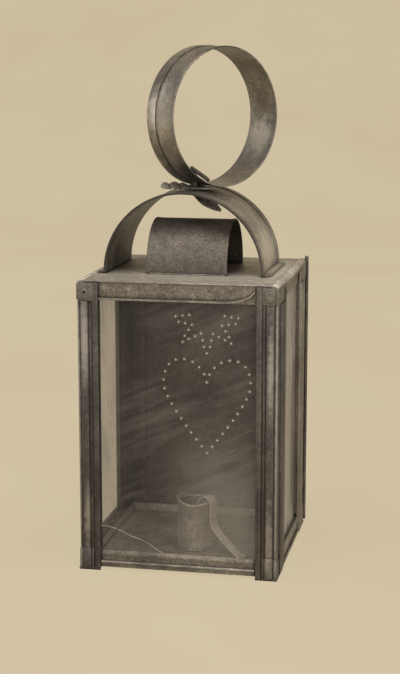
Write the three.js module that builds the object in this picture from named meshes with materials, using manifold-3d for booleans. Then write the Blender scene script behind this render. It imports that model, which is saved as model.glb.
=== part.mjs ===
// Hand lantern of folded tinplate: a square case with three panes and a pierced back door, a half-barrel
// smoke hood under an arched strap, and a carrying ring that swivels on top of the strap.
// Millimetres, +Z up, the glazed front towards -Y. The origin is the middle of the base at table level.

import * as THREE from "three";
import Module from "manifold-3d";
import { mergeVertices } from "three/addons/utils/BufferGeometryUtils.js";

const wasm = await Module();
wasm.setup();

// Case
const BODY_WIDTH = 127; // across the outer faces of the corner posts
const BODY_DEPTH = 127;
const BODY_HEIGHT = 188; // table to the top of the lid
const SHEET = 0.8; // tinplate, with its solder
const GLASS = 2;
const SEAT = 0.3; // gap between two pieces that touch
const SEAM = 0.1; // how far two sheets of one piece sink into each other
const PAST = 1; // how far a cutting tool runs past the face that it cuts
const SLIVER = 0.01; // edges shorter than this are merged into their neighbours

// Corner posts: an L of two leaves with pressed ribs
const FRONT_LEAF = 13.4; // leaf on the front and the back
const SIDE_LEAF = 30; // leaf on the left and the right
const POST_FOLD = 1; // outer radius of the fold
const FRONT_RIB_AT = 2.1; // from the corner to the front leaf's raised strip
const FRONT_RIB_WIDTH = 5;
const FRONT_RIB_RISE = 1.4;
const SIDE_RIB_AT = 11;
const SIDE_RIB_WIDTH = 15;
const SIDE_RIB_RISE = 1.8;
const BEAD_WIDTH = 3.5; // bead along each leaf's inner edge
const BEAD_RISE = 1;

// Caps and shoes: folded clips over the two ends of each post
const CAP_HEIGHT = 11.6;
const SHOE_HEIGHT = 15;
const SHOE_SLOPE = 4; // drop of the side tab's top edge
const FOOT_DEPTH = 14; // foot plate under the corner, front to back

// Lid and rails
const FASCIA_HEIGHT = 12.3; // lid top to the fascia's lower edge
const SHOULDER_RADIUS = 4; // rolled shoulder along the lid's two sides
const VENT_DIAMETER = 36;
const RAIL_BOTTOM = 2;
const RAIL_HEIGHT = 11.4;
const RAIL_BAND = 3.6; // height of each of a rail's two raised bands
const RAIL_BAND_RISE = 0.7;
const PAN_FLANGE = 7; // height of the floor pan's upturned edge
const PANE_OVERLAP = 6.5; // how far a pane reaches under a side leaf
const PANE_CORNER = 5.5; // from the case's corner to the front pane's edge

// Smoke hood
const HOOD_X = -1;
const HOOD_Y = 2;
const HOOD_LENGTH = 52.3;
const HOOD_DEPTH = 61;
const HOOD_HEIGHT = 33;

// Strap handle
const STRAP_X = -3;
const STRAP_Y = 4;
const STRAP_WIDTH = 70;
const STRAP_HALF_SPAN = 51.2;
const STRAP_LEG = 0.6; // straight part of each leg, below the arch
const STRAP_FLANGE = 4.5;
const STRAP_CLIP = 3; // clipped corners of the flanges
const STRAP_HEM = 4;
const STRAP_HEM_RISE = 0.6;

// Carrying ring, with the strip that it swivels on
const RING_RADIUS = 44.8;
const RING_WIDTH = 25.5;
const RING_TURN = 52; // degrees from +X to the ring's plane, seen from above
const RING_LEAN = 16; // from the swivel's axis to the ring's lowest point
const RING_HEM = 8.3;
const RING_HEM_RISE = 0.5;
const SWIVEL_X = -0.8;
const SWIVEL_Y = -2.4;
const SHANK_WIDTH = 4;
const SHANK_THICKNESS = 1.2;
const SHANK_CLEARANCE = 0.4;
const BAR_BACK = 10; // the shank's upper end, spread both ways inside the ring
const BAR_FRONT = 16;
const BAR_SLOPE = 30; // degrees, falling towards the ring's lowest point
const BAR_STANDOFF = 1.4; // from the bar's front end to the ring's bore
const WASHER_TURN = 20; // degrees from +X to the ruffled leaf under the ring
const WASHER_BACK = 22; // from the swivel's axis
const WASHER_FRONT = 24;
const WASHER_WIDTH = 12;
const WASHER_RUFFLE = 0.9;
const WASHER_RUFFLES = 4;
const LEAF_TURN = -12; // degrees from +X to the leaf under the strap
const LEAF_LENGTH = 18.5; // from the swivel's axis
const LEAF_HEEL = 7;
const LEAF_WIDTH = 10;
const LEAF_SLOPE = 32; // degrees below level
const LEAF_DROP = 1.1; // below the strap at its crown, so that the heel turns clear of the arch

// Candle socket and its brace
const SOCKET_X = 2;
const SOCKET_Y = -11;
const SOCKET_DIAMETER = 25.4;
const SOCKET_HEIGHT = 34.4;
const SOCKET_SCALLOP = 3; // how deep the rim dips at the front and the back
const BRACE_TURN = -31; // degrees from +X
const BRACE_WIDTH = 4.5;
const BRACE_KNEE = 18; // height where the brace leaves the socket's wall
const BRACE_REACH = 24; // from the socket's wall to the brace's toe
const BRACE_FOOT = 5;
const BRACE_HOOK = 4; // how far it hooks down inside the rim

// Back door
const DOOR_LAP = 2.7; // over the rear left post's leaf
const DOOR_BOTTOM = 3;
const DOOR_TOP = 186;
const DOOR_STANDOFF = 1.6; // from the back leaves to the panel
const DOOR_HEM = 5;
const HINGE_TUBE = 2.8; // outer diameter of the rolled edge and the knuckles
const HINGE_BORE = 1.8;
const HINGE_WIRE = 1.2;
const HINGE_HEAD = 3.6; // height of the wire's domed upper end
const KNUCKLE_LENGTH = 12;
const KNUCKLE_INSET = 24; // from either end of the case to a knuckle
const KNUCKLE_LEAF = 10;
const HOLE_DIAMETER = 2.6; // the door's pierced holes

// Pierced ornament: a heart under two tulips. Points are [out from the ornament's middle, up].
const ORNAMENT_X = -5.7;
const HEART_TIP_Z = 46.5;
const HEART_LOBE = [[0, 51.5], [4, 71.5], [31.5, 75.5], [31.5, 50.5]]; // control points above the tip
const HEART_FLANK = [[31.5, 50.5], [31.5, 38.5], [8.8, 11], [0, 0]];
const HEART_HOLES = 17; // on each half, between the tip and the notch
const TULIP_Z = 119;
const TULIP_ROWS = [ // a row's first and last hole, and how many it has
  { from: [2.2, 4.5], to: [4.2, 14], holes: 3 }, // stem
  { from: [8.5, 12], to: [17.5, 7.5], holes: 3 }, // leaf
  { from: [16, 12], to: [13.3, 16.3], holes: 2 }, // stalk
  { from: [10.8, 20], to: [20.4, 21.8], holes: 3 }, // lower petals
  { from: [12.7, 27], to: [22.4, 25.8], holes: 3 }, // upper petals
];

// Turn button
const LATCH_INSET = 5.5; // from the case's corner to the pivot
const LATCH_Z = 95;
const LATCH_LENGTH = 19;
const LATCH_TAPER = 0.8; // width of the hanging end, as a share of the width at the pivot
const LATCH_PIVOT = 2.4;
const LATCH_COLLAR = 5;
const LATCH_BORE_CLEARANCE = 0.3;

// Depths below the faces of the case, from outside to inside
const FASCIA_IN = SHEET + SEAT;
const PANE_IN = FASCIA_IN + SHEET + SEAT;
const STOP_IN = PANE_IN + GLASS + SEAT;
const CLIP_OUT = SEAT + SHEET; // outer face of the caps and shoes

// Heights
const POST_BOTTOM = SHEET + SEAT;
const LID_UNDER = BODY_HEIGHT - SHEET;
const FASCIA_BOTTOM = BODY_HEIGHT - FASCIA_HEIGHT;
const SHOULDER_Z = BODY_HEIGHT - SHOULDER_RADIUS;
const POST_TOP = SHOULDER_Z - SHEET - SEAT;
const CAP_TOP = LID_UNDER - SEAT;
const CAP_BOTTOM = CAP_TOP - CAP_HEIGHT;
const RAIL_TOP = RAIL_BOTTOM + RAIL_HEIGHT;
const FLOOR_TOP = RAIL_BOTTOM + SHEET;
const STRAP_BOTTOM = BODY_HEIGHT + SEAT;
const STRAP_TOP = STRAP_BOTTOM + STRAP_LEG + STRAP_HALF_SPAN;

// Hinge axis and the planes of the door
const PANEL_IN_Y = BODY_DEPTH / 2 + DOOR_STANDOFF;
const PANEL_OUT_Y = PANEL_IN_Y + SHEET;
const HINGE_X = BODY_WIDTH / 2 + SIDE_RIB_RISE - HINGE_TUBE / 2;
const HINGE_Y = PANEL_IN_Y + HINGE_TUBE / 2 - SEAM;
const DOOR_LEFT = -BODY_WIDTH / 2 + FRONT_LEAF - DOOR_LAP;
const LATCH_IN_Y = PANEL_OUT_Y + SHEET + SEAT;
const LATCH_OUT_Y = LATCH_IN_Y + SHEET + SEAT + SHEET;
const LATCH_WIDTH = 2 * (FRONT_LEAF - DOOR_LAP - LATCH_INSET - SEAT);

// The case stands so that the origin is the middle of everything, front to back
const FRONT_REACH = BODY_DEPTH / 2 + Math.max(FRONT_RIB_RISE, BEAD_RISE, CLIP_OUT);
const BACK_REACH = Math.max(LATCH_OUT_Y, HINGE_Y + HINGE_TUBE / 2);
const BODY_Y = (FRONT_REACH - BACK_REACH) / 2;

const ARC_STEPS = 32;
const RING_STEPS = 72;
const SMALL_ROUND = 12;
const FOLD_STEPS = 6;
const LEAF_STEPS = 16;
const WASHER_STEPS = 40;

const tin = (shade) => new THREE.MeshStandardMaterial({ color: shade, roughness: 0.55, metalness: 0.6 });
const glass = () => new THREE.MeshStandardMaterial({
  color: "#aeb4ac", roughness: 0.15, metalness: 0, transparent: true, opacity: 0.35,
});

const degrees = (angle) => THREE.MathUtils.degToRad(angle);

// Solids from three.js geometry, and back

function solid(geometry) {
  const bare = geometry.index ? geometry.toNonIndexed() : geometry.clone();
  bare.deleteAttribute("normal");
  bare.deleteAttribute("uv");
  const merged = mergeVertices(bare, 1e-5);
  return new wasm.Manifold(new wasm.Mesh({
    numProp: 3,
    vertProperties: new Float32Array(merged.attributes.position.array),
    triVerts: new Uint32Array(merged.index.array),
  }));
}

function geometryOf(shape) {
  const mesh = shape.getMesh();
  const geometry = new THREE.BufferGeometry();
  geometry.setAttribute("position", new THREE.BufferAttribute(new Float32Array(mesh.vertProperties), 3));
  geometry.setIndex(new THREE.BufferAttribute(new Uint32Array(mesh.triVerts), 1));
  geometry.computeVertexNormals();
  return geometry;
}

const join = (...solids) => solids.reduce((whole, next) => whole.add(next));
const cut = (whole, ...tools) => tools.reduce((rest, tool) => rest.subtract(tool), whole);

// Rotations that carry an outline's plane and its extrusion to the three axes
const X = new THREE.Vector3(1, 0, 0);
const Y = new THREE.Vector3(0, 1, 0);
const Z = new THREE.Vector3(0, 0, 1);
const FACING = {
  x: new THREE.Matrix4().makeBasis(Y, Z, X), // outline in (y, z)
  y: new THREE.Matrix4().makeBasis(X, Z, Y.clone().negate()), // outline in (x, z)
  z: new THREE.Matrix4(), // outline in (x, y)
};

const shapeOf = (points) => new THREE.Shape(points.map(([a, b]) => new THREE.Vector2(a, b)));

// A prism of a shape drawn across an axis, between two places on that axis
function prismOf(shape, axis, from, to, curveSegments = ARC_STEPS) {
  const geometry = new THREE.ExtrudeGeometry(shape, { depth: to - from, bevelEnabled: false, curveSegments });
  geometry.applyMatrix4(FACING[axis]);
  const start = axis === "y" ? to : from;
  geometry.translate(axis === "x" ? start : 0, axis === "y" ? start : 0, axis === "z" ? start : 0);
  return solid(geometry);
}

const prism = (points, axis, from, to) => prismOf(shapeOf(points), axis, from, to);

function block(x0, x1, y0, y1, z0, z1) {
  const size = [x0, y0, z0].map((low, i) => Math.abs([x1, y1, z1][i] - low));
  const geometry = new THREE.BoxGeometry(...size);
  return solid(geometry.translate((x0 + x1) / 2, (y0 + y1) / 2, (z0 + z1) / 2));
}

const disc = (radius, a, b, axis, from, to, segments = SMALL_ROUND) => prismOf(
  new THREE.Shape().absarc(a, b, radius, 0, 2 * Math.PI), axis, from, to, segments,
);

// The outline of a folded sheet: a path along one face, and the same path moved by the thickness to its left
function folded(path, thickness) {
  const points = path.map(([a, b]) => new THREE.Vector2(a, b));
  const left = (from, to) => {
    const along = to.clone().sub(from).normalize();
    return new THREE.Vector2(-along.y, along.x);
  };
  const moved = points.map((point, i) => {
    const before = left(points[Math.max(i - 1, 0)], points[Math.max(i, 1)]);
    const after = left(points[Math.min(i, points.length - 2)], points[Math.min(i + 1, points.length - 1)]);
    const mitre = before.clone().add(after).multiplyScalar(thickness / (1 + before.dot(after)));
    return point.clone().add(mitre);
  });
  return [...points, ...moved.reverse()].map((point) => [point.x, point.y]);
}

// Points of an arc, from one angle to another in degrees
function arc(a, b, radius, from, to, steps) {
  return Array.from({ length: steps + 1 }, (_, i) => {
    const angle = degrees(from + ((to - from) * i) / steps);
    return [a + radius * Math.cos(angle), b + radius * Math.sin(angle)];
  });
}

// The scene graph: the case, and on its strap the swivelling ring

const lantern = new THREE.Group();
const caseGroup = new THREE.Group();
caseGroup.position.y = BODY_Y;
const ringGroup = new THREE.Group();
ringGroup.position.set(SWIVEL_X, SWIVEL_Y, STRAP_TOP);
ringGroup.rotation.z = degrees(RING_TURN);
lantern.add(caseGroup);
caseGroup.add(ringGroup);

function add(group, name, shape, material) {
  const mesh = new THREE.Mesh(geometryOf(shape.simplify(SLIVER)), material);
  mesh.name = name;
  group.add(mesh);
}

// Corners: (u, v) run inwards from a corner's outer edges, u along X and v along Y

const CORNERS = [
  { name: "front_left", sx: -1, sy: -1 },
  { name: "front_right", sx: 1, sy: -1 },
  { name: "rear_left", sx: -1, sy: 1 },
  { name: "rear_right", sx: 1, sy: 1 },
];

const place = ({ sx, sy }) => (u, v) => [sx * (BODY_WIDTH / 2 - u), sy * (BODY_DEPTH / 2 - v)];

function cornerBlock(corner, u0, u1, v0, v1, z0, z1) {
  const at = place(corner);
  const [x0, y0] = at(u0, v0);
  const [x1, y1] = at(u1, v1);
  return block(x0, x1, y0, y1, z0, z1);
}

// A low rounded rib on a leaf: t runs along the leaf, h out of it
function ribOutline(start, width, rise, toPoint) {
  const crown = Array.from({ length: FOLD_STEPS + 1 }, (_, i) => {
    const turn = (Math.PI * i) / FOLD_STEPS;
    return [start + (width * (1 - Math.cos(turn))) / 2, SEAM + (rise - SEAM) * Math.sin(turn) ** 0.5];
  });
  const foot = SHEET / 2;
  return [[start, -foot], ...crown, [start + width, -foot]].map(([t, h]) => toPoint(t, h));
}

function cornerPost(corner) {
  const at = place(corner);
  const onFront = (t, h) => at(t, -h);
  const onSide = (t, h) => at(-h, t);
  const fold = arc(POST_FOLD, POST_FOLD, POST_FOLD, 270, 180, FOLD_STEPS);
  const leaves = [
    [FRONT_LEAF, 0], ...fold, [0, SIDE_LEAF], [SHEET, SIDE_LEAF], [SHEET, SHEET], [FRONT_LEAF, SHEET],
  ].map(([u, v]) => at(u, v));
  const clearOfLid = SHOULDER_RADIUS + SEAT;
  const parts = [
    prism(leaves, "z", POST_BOTTOM, POST_TOP),
    cornerBlock(corner, clearOfLid, FRONT_LEAF, 0, SHEET, POST_TOP - SHEET, CAP_TOP),
    prism(ribOutline(SIDE_RIB_AT, SIDE_RIB_WIDTH, SIDE_RIB_RISE, onSide),
      "z", SHOE_HEIGHT + SEAT, CAP_BOTTOM - SEAT),
    prism(ribOutline(SIDE_LEAF - BEAD_WIDTH, BEAD_WIDTH, BEAD_RISE, onSide), "z", POST_BOTTOM, POST_TOP),
  ];
  if (corner.sy < 0) {
    parts.push(
      prism(ribOutline(FRONT_RIB_AT, FRONT_RIB_WIDTH, FRONT_RIB_RISE, onFront),
        "z", SHOE_HEIGHT + SEAT, CAP_BOTTOM - SEAT),
      prism(ribOutline(FRONT_LEAF - BEAD_WIDTH, BEAD_WIDTH, BEAD_RISE, onFront), "z", POST_BOTTOM, CAP_TOP),
    );
  }
  return join(...parts);
}

// Both clips wrap the post's corner and stop short of its beads
const CLIP_FRONT = FRONT_LEAF - BEAD_WIDTH - SEAT;
const CLIP_SIDE = SIDE_LEAF - BEAD_WIDTH - SEAT;

function cornerCap(corner) {
  return join(
    cornerBlock(corner, -CLIP_OUT, CLIP_FRONT, -CLIP_OUT, -SEAT, CAP_BOTTOM, CAP_TOP),
    cornerBlock(corner, -CLIP_OUT, -SEAT, -CLIP_OUT, CLIP_SIDE, CAP_BOTTOM, CAP_TOP),
  );
}

function cornerShoe(corner) {
  const at = place(corner);
  const [outerX] = at(-CLIP_OUT, 0);
  const [innerX] = at(-SEAT, 0);
  const sideTab = [
    [-CLIP_OUT, 0], [CLIP_SIDE, 0], [CLIP_SIDE, SHOE_HEIGHT - SHOE_SLOPE], [-CLIP_OUT, SHOE_HEIGHT],
  ].map(([v, z]) => [at(0, v)[1], z]);
  return join(
    cornerBlock(corner, -CLIP_OUT, CLIP_FRONT, -CLIP_OUT, -SEAT, 0, SHOE_HEIGHT),
    prism(sideTab, "x", Math.min(outerX, innerX), Math.max(outerX, innerX)),
    cornerBlock(corner, -CLIP_OUT, FRONT_LEAF, -CLIP_OUT, FOOT_DEPTH, 0, SHEET),
  );
}

// The angle that holds a pane from inside. At the rear its short leg lies against the back leaf.
function glassStop(corner) {
  const at = place(corner);
  const legStart = corner.sy < 0 ? [FRONT_LEAF, STOP_IN] : [FRONT_LEAF, FASCIA_IN];
  const [endU, legV] = legStart;
  return join(
    cornerBlock(corner, STOP_IN, endU, legV, legV + SHEET, RAIL_TOP + SEAT, FASCIA_BOTTOM - SEAT),
    cornerBlock(corner, STOP_IN, STOP_IN + SHEET, legV, SIDE_LEAF, RAIL_TOP + SEAT, FASCIA_BOTTOM - SEAT),
  );
}

for (const corner of CORNERS) {
  add(caseGroup, `corner_post_${corner.name}`, cornerPost(corner), tin("#57524a"));
  add(caseGroup, `corner_cap_${corner.name}`, cornerCap(corner), tin("#6b655b"));
  add(caseGroup, `corner_shoe_${corner.name}`, cornerShoe(corner), tin("#5f5a51"));
  add(caseGroup, `glass_stop_${corner.name}`, glassStop(corner), tin("#4c4841"));
}

// Rails: a leaf behind the posts with two raised bands, and an inward shelf that carries the pane

// The rail's section in (depth below the face, height)
const RAIL_SECTION = [
  [PANE_IN + GLASS, RAIL_BOTTOM], [PANE_IN + GLASS, FLOOR_TOP], [FASCIA_IN + SHEET, FLOOR_TOP],
  [FASCIA_IN + SHEET, RAIL_TOP], [FASCIA_IN, RAIL_TOP], [FASCIA_IN, RAIL_BOTTOM],
];

function rail(section, axis, half, sign, length, shelfLength, bandLength) {
  const outline = section.map(([depth, z]) => [sign * (half - depth), z]);
  const shelfEdge = FASCIA_IN + SHEET;
  const whole = prism(outline, axis, -length / 2, length / 2);
  const trims = [-1, 1].map((end) => {
    const from = Math.min((end * shelfLength) / 2, end * length);
    const to = Math.max((end * shelfLength) / 2, end * length);
    const trim = [
      [shelfEdge, RAIL_BOTTOM - PAST], [half, RAIL_BOTTOM - PAST],
      [half, RAIL_TOP + PAST], [shelfEdge, RAIL_TOP + PAST],
    ].map(([depth, z]) => [sign * (half - depth), z]);
    return prism(trim, axis, from, to);
  });
  const bands = [RAIL_BOTTOM + SHEET / 2, RAIL_TOP - RAIL_BAND - SHEET / 2].map((z) => {
    const band = [
      [FASCIA_IN + SHEET / 2, z], [FASCIA_IN, z], [FASCIA_IN - RAIL_BAND_RISE, z + RAIL_BAND / 4],
      [FASCIA_IN - RAIL_BAND_RISE, z + (RAIL_BAND * 3) / 4], [FASCIA_IN, z + RAIL_BAND],
      [FASCIA_IN + SHEET / 2, z + RAIL_BAND],
    ].map(([depth, height]) => [sign * (half - depth), height]);
    return prism(band, axis, -bandLength / 2, bandLength / 2);
  });
  return join(cut(whole, ...trims), ...bands);
}

const acrossFront = BODY_WIDTH - 2 * FASCIA_IN;
const alongSide = BODY_DEPTH - 2 * PANE_IN;
const betweenFrontLeaves = BODY_WIDTH - 2 * (FRONT_LEAF + SEAT);
const betweenSideLeaves = BODY_DEPTH - 2 * (SIDE_LEAF + SEAT);
const sideShelf = BODY_DEPTH - 2 * (PANE_IN + GLASS + SEAT);

for (const [name, sign] of [["front", -1], ["back", 1]]) {
  const shape = rail(RAIL_SECTION, "x", BODY_DEPTH / 2, sign, acrossFront, acrossFront - 2 * SHEET - 2 * SEAT,
    betweenFrontLeaves);
  add(caseGroup, `bottom_rail_${name}`, shape, tin("#544f47"));
}
for (const [name, sign] of [["left", -1], ["right", 1]]) {
  const shape = rail(RAIL_SECTION, "y", BODY_WIDTH / 2, sign, alongSide, sideShelf, betweenSideLeaves);
  add(caseGroup, `bottom_rail_${name}`, shape, tin("#544f47"));
}

// Floor pan: a tray whose flanges stand inside the panes

const panHalfX = BODY_WIDTH / 2 - STOP_IN;
const panHalfY = BODY_DEPTH / 2 - STOP_IN;
add(caseGroup, "floor_pan", cut(
  block(-panHalfX, panHalfX, -panHalfY, panHalfY, RAIL_BOTTOM, RAIL_BOTTOM + PAN_FLANGE),
  block(-panHalfX + SHEET, panHalfX - SHEET, -panHalfY + SHEET, panHalfY - SHEET,
    FLOOR_TOP, RAIL_BOTTOM + 2 * PAN_FLANGE),
), tin("#4f4a43"));

// Panes, standing on the rails' shelves and reaching up behind the fascia

const paneBottom = FLOOR_TOP + SEAT;
const paneTop = LID_UNDER - SEAT;
const frontPaneHalf = BODY_WIDTH / 2 - PANE_CORNER;
const sidePaneHalf = BODY_DEPTH / 2 - SIDE_LEAF + PANE_OVERLAP;
add(caseGroup, "glass_front", block(-frontPaneHalf, frontPaneHalf,
  -BODY_DEPTH / 2 + PANE_IN, -BODY_DEPTH / 2 + PANE_IN + GLASS, paneBottom, paneTop), glass());
for (const [name, sign] of [["left", -1], ["right", 1]]) {
  const outer = sign * (BODY_WIDTH / 2 - PANE_IN);
  const inner = sign * (BODY_WIDTH / 2 - PANE_IN - GLASS);
  add(caseGroup, `glass_${name}`,
    block(outer, inner, -sidePaneHalf, sidePaneHalf, paneBottom, SHOULDER_Z - SEAT), glass());
}

// Lid: a top sheet rolled down over the two sides, with a recessed fascia all round and the vent

function lid() {
  const half = BODY_WIDTH / 2;
  const ledgeZ = SHOULDER_Z - SHEET;
  // Everything under the rolled top, at an inset from its outer face
  const rolled = (inset, bottom, depth) => prism([
    [inset - half, bottom], [half - inset, bottom],
    ...arc(half - SHOULDER_RADIUS, SHOULDER_Z, SHOULDER_RADIUS - inset, 0, 90, FOLD_STEPS),
    ...arc(SHOULDER_RADIUS - half, SHOULDER_Z, SHOULDER_RADIUS - inset, 90, 180, FOLD_STEPS),
  ], "y", -depth / 2, depth / 2);
  const box = (inset, z0, z1) => block(inset - half, half - inset,
    inset - BODY_DEPTH / 2, BODY_DEPTH / 2 - inset, z0, z1);
  const top = cut(rolled(0, ledgeZ, BODY_DEPTH), rolled(SHEET, ledgeZ - PAST, BODY_DEPTH + 2 * PAST));
  const fascia = cut(
    box(FASCIA_IN, FASCIA_BOTTOM, BODY_HEIGHT),
    box(FASCIA_IN + SHEET, FASCIA_BOTTOM - PAST, BODY_HEIGHT + PAST),
  ).intersect(rolled(SHEET / 2, FASCIA_BOTTOM - PAST, BODY_DEPTH));
  const ledges = [-1, 1].map((sign) => block(sign * half, sign * (half - FASCIA_IN - SHEET / 2),
    FASCIA_IN - BODY_DEPTH / 2, BODY_DEPTH / 2 - FASCIA_IN, ledgeZ, SHOULDER_Z));
  const vent = disc(VENT_DIAMETER / 2, HOOD_X, HOOD_Y, "z", LID_UNDER - PAST, BODY_HEIGHT + PAST, ARC_STEPS);
  return cut(join(top, fascia, ...ledges), vent);
}
add(caseGroup, "lid", lid(), tin("#625c52"));

// Smoke hood: a half barrel on short straight legs, open at both ends

function hood() {
  const radius = HOOD_DEPTH / 2 - SHEET;
  const legTop = STRAP_BOTTOM + HOOD_HEIGHT - SEAT - HOOD_DEPTH / 2;
  const path = [
    [HOOD_Y - radius, STRAP_BOTTOM],
    ...arc(HOOD_Y, legTop, radius, 180, 0, ARC_STEPS),
    [HOOD_Y + radius, STRAP_BOTTOM],
  ];
  return prism(folded(path, SHEET), "x", HOOD_X - HOOD_LENGTH / 2, HOOD_X + HOOD_LENGTH / 2);
}
add(caseGroup, "smoke_hood", hood(), tin("#4a463f"));

// Strap handle: an arch with outward foot flanges, its two long edges hemmed

function strap() {
  const y0 = STRAP_Y - STRAP_WIDTH / 2;
  const y1 = STRAP_Y + STRAP_WIDTH / 2;
  const toe = STRAP_HALF_SPAN + STRAP_FLANGE;
  const archOf = (radius) => [
    [STRAP_X - radius, STRAP_BOTTOM],
    ...arc(STRAP_X, STRAP_TOP - STRAP_HALF_SPAN, radius, 180, 0, ARC_STEPS),
    [STRAP_X + radius, STRAP_BOTTOM],
  ];
  const path = [
    [STRAP_X - toe, STRAP_BOTTOM], ...archOf(STRAP_HALF_SPAN - SHEET), [STRAP_X + toe, STRAP_BOTTOM],
  ];
  const lap = SHEET / 2;
  const hem = folded(archOf(STRAP_HALF_SPAN - lap), lap + STRAP_HEM_RISE);
  const clips = [-1, 1].flatMap((sx) => [-1, 1].map((sy) => {
    const cornerX = STRAP_X + sx * toe;
    const cornerY = STRAP_Y + (sy * STRAP_WIDTH) / 2;
    return prism([
      [cornerX + sx * PAST, cornerY + sy * PAST], [cornerX - sx * STRAP_CLIP, cornerY + sy * PAST],
      [cornerX - sx * STRAP_CLIP, cornerY], [cornerX, cornerY - sy * STRAP_CLIP],
      [cornerX + sx * PAST, cornerY - sy * STRAP_CLIP],
    ], "z", BODY_HEIGHT, STRAP_BOTTOM + SHEET + PAST);
  }));
  const shankHole = disc(SHANK_WIDTH / 2 + SHANK_CLEARANCE + SEAT, SWIVEL_X, SWIVEL_Y, "z",
    STRAP_TOP - SHEET - PAST, STRAP_TOP + PAST);
  return cut(join(
    prism(folded(path, SHEET), "y", y0, y1),
    prism(hem, "y", y0, y0 + STRAP_HEM),
    prism(hem, "y", y1 - STRAP_HEM, y1),
  ), ...clips, shankHole);
}
add(caseGroup, "strap_handle", strap(), tin("#6a645a"));

// Carrying ring. In its group x runs along the ring's plane, y through it, and z = 0 is the strap's top.

const ringZ = SEAT + SHEET + SEAT + RING_HEM_RISE + RING_RADIUS;

// The slot that the flat shank passes through
const shankSlot = (z0, z1) => block(
  -SHANK_THICKNESS / 2 - SHANK_CLEARANCE, SHANK_THICKNESS / 2 + SHANK_CLEARANCE,
  -SHANK_WIDTH / 2 - SHANK_CLEARANCE, SHANK_WIDTH / 2 + SHANK_CLEARANCE, z0, z1,
);

function ring() {
  const bore = RING_RADIUS - SHEET;
  const hoop = (outer, from, to) => {
    const shape = new THREE.Shape().absarc(RING_LEAN, ringZ, outer, 0, 2 * Math.PI);
    shape.holes.push(new THREE.Path().absarc(RING_LEAN, ringZ, bore, 0, 2 * Math.PI));
    return prismOf(shape, "y", from, to, RING_STEPS);
  };
  return cut(join(
    hoop(RING_RADIUS, -RING_WIDTH / 2, RING_WIDTH / 2),
    hoop(RING_RADIUS + RING_HEM_RISE, RING_WIDTH / 2 - RING_HEM, RING_WIDTH / 2),
  ), shankSlot(0, ringZ - RING_RADIUS / 2));
}
add(ringGroup, "ring_band", ring(), tin("#5d574e"));

// Leaf washer: a pointed leaf with ruffled edges, slotted for the shank

// Half the width of a leaf as a share of the whole, from its heel (-1) over its middle (0) to its point (1)
const LEAF_SHAPE = [
  { at: -1, half: 0.12 }, { at: -0.6, half: 0.42 }, { at: 0, half: 0.5 },
  { at: 0.6, half: 0.34 }, { at: 1, half: 0.12 },
];

function leafOutline(back, front, width) {
  const side = (sign) => new THREE.SplineCurve(LEAF_SHAPE.map(
    ({ at, half }) => new THREE.Vector2(at * (at < 0 ? back : front), sign * half * width),
  )).getPoints(LEAF_STEPS).map((point) => [point.x, point.y]);
  return [...side(-1), ...side(1).reverse()];
}

function leafWasher() {
  const length = WASHER_BACK + WASHER_FRONT;
  const ruffled = WASHER_BACK - SHANK_WIDTH;
  const under = Array.from({ length: WASHER_STEPS + 1 }, (_, i) => {
    const x = (length * i) / WASHER_STEPS - WASHER_BACK;
    const wave = Math.max(0, -x - SHANK_WIDTH) / ruffled;
    return [x, SEAT + WASHER_RUFFLE * (1 - Math.cos(wave * WASHER_RUFFLES * 2 * Math.PI))];
  });
  const wavy = prism(folded(under, SHEET), "y", -WASHER_WIDTH, WASHER_WIDTH);
  const height = 2 * (SEAT + SHEET + WASHER_RUFFLE);
  const leaf = prism(leafOutline(WASHER_BACK, WASHER_FRONT, WASHER_WIDTH), "z", 0, height);
  return cut(wavy.intersect(leaf).rotate([0, 0, WASHER_TURN - RING_TURN]), shankSlot(0, height));
}
add(ringGroup, "leaf_washer", leafWasher(), tin("#6f695e"));

// Swivel strip: a leaf hanging under the strap, a flat shank through strap, washer and ring, and the shank's
// upper end spread both ways along the inside of the ring

function swivelStrip() {
  const slope = degrees(BAR_SLOPE);
  // Along the bar and out of it, from the place where the shank meets it
  const turned = (height) => ([along, out]) => [
    along * Math.cos(slope) + out * Math.sin(slope),
    height - along * Math.sin(slope) + out * Math.cos(slope),
  ];
  const [frontX, frontDrop] = turned(0)([BAR_FRONT, 0]);
  const clear = RING_RADIUS - SHEET - BAR_STANDOFF;
  const barZ = ringZ - Math.sqrt(clear ** 2 - (frontX - RING_LEAN) ** 2) - frontDrop;
  const bar = prism(
    [[-BAR_BACK, 0], [BAR_FRONT, 0], [BAR_FRONT, SHEET], [-BAR_BACK, SHEET]].map(turned(barZ)),
    "y", -SHANK_WIDTH / 2, SHANK_WIDTH / 2,
  );
  const leafTop = -SHEET - LEAF_DROP;
  const shank = block(-SHANK_THICKNESS / 2, SHANK_THICKNESS / 2, -SHANK_WIDTH / 2, SHANK_WIDTH / 2,
    leafTop - SHEET / 2, barZ + SHEET / 2);
  const fall = Math.tan(degrees(LEAF_SLOPE)) * (LEAF_LENGTH - SHANK_THICKNESS);
  const leafPath = [
    [-LEAF_HEEL, leafTop - SHEET], [SHANK_THICKNESS, leafTop - SHEET], [LEAF_LENGTH, leafTop - SHEET - fall],
  ];
  const leaf = prism(folded(leafPath, SHEET), "y", -LEAF_WIDTH, LEAF_WIDTH)
    .intersect(prism(leafOutline(LEAF_HEEL, LEAF_LENGTH, LEAF_WIDTH), "z", leafTop - 2 * fall, 0))
    .rotate([0, 0, LEAF_TURN - RING_TURN]);
  return join(bar, shank, leaf);
}
add(ringGroup, "swivel_strip", swivelStrip(), tin("#453f38"));

// Candle socket: a tube whose rim dips at the front and the back

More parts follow.
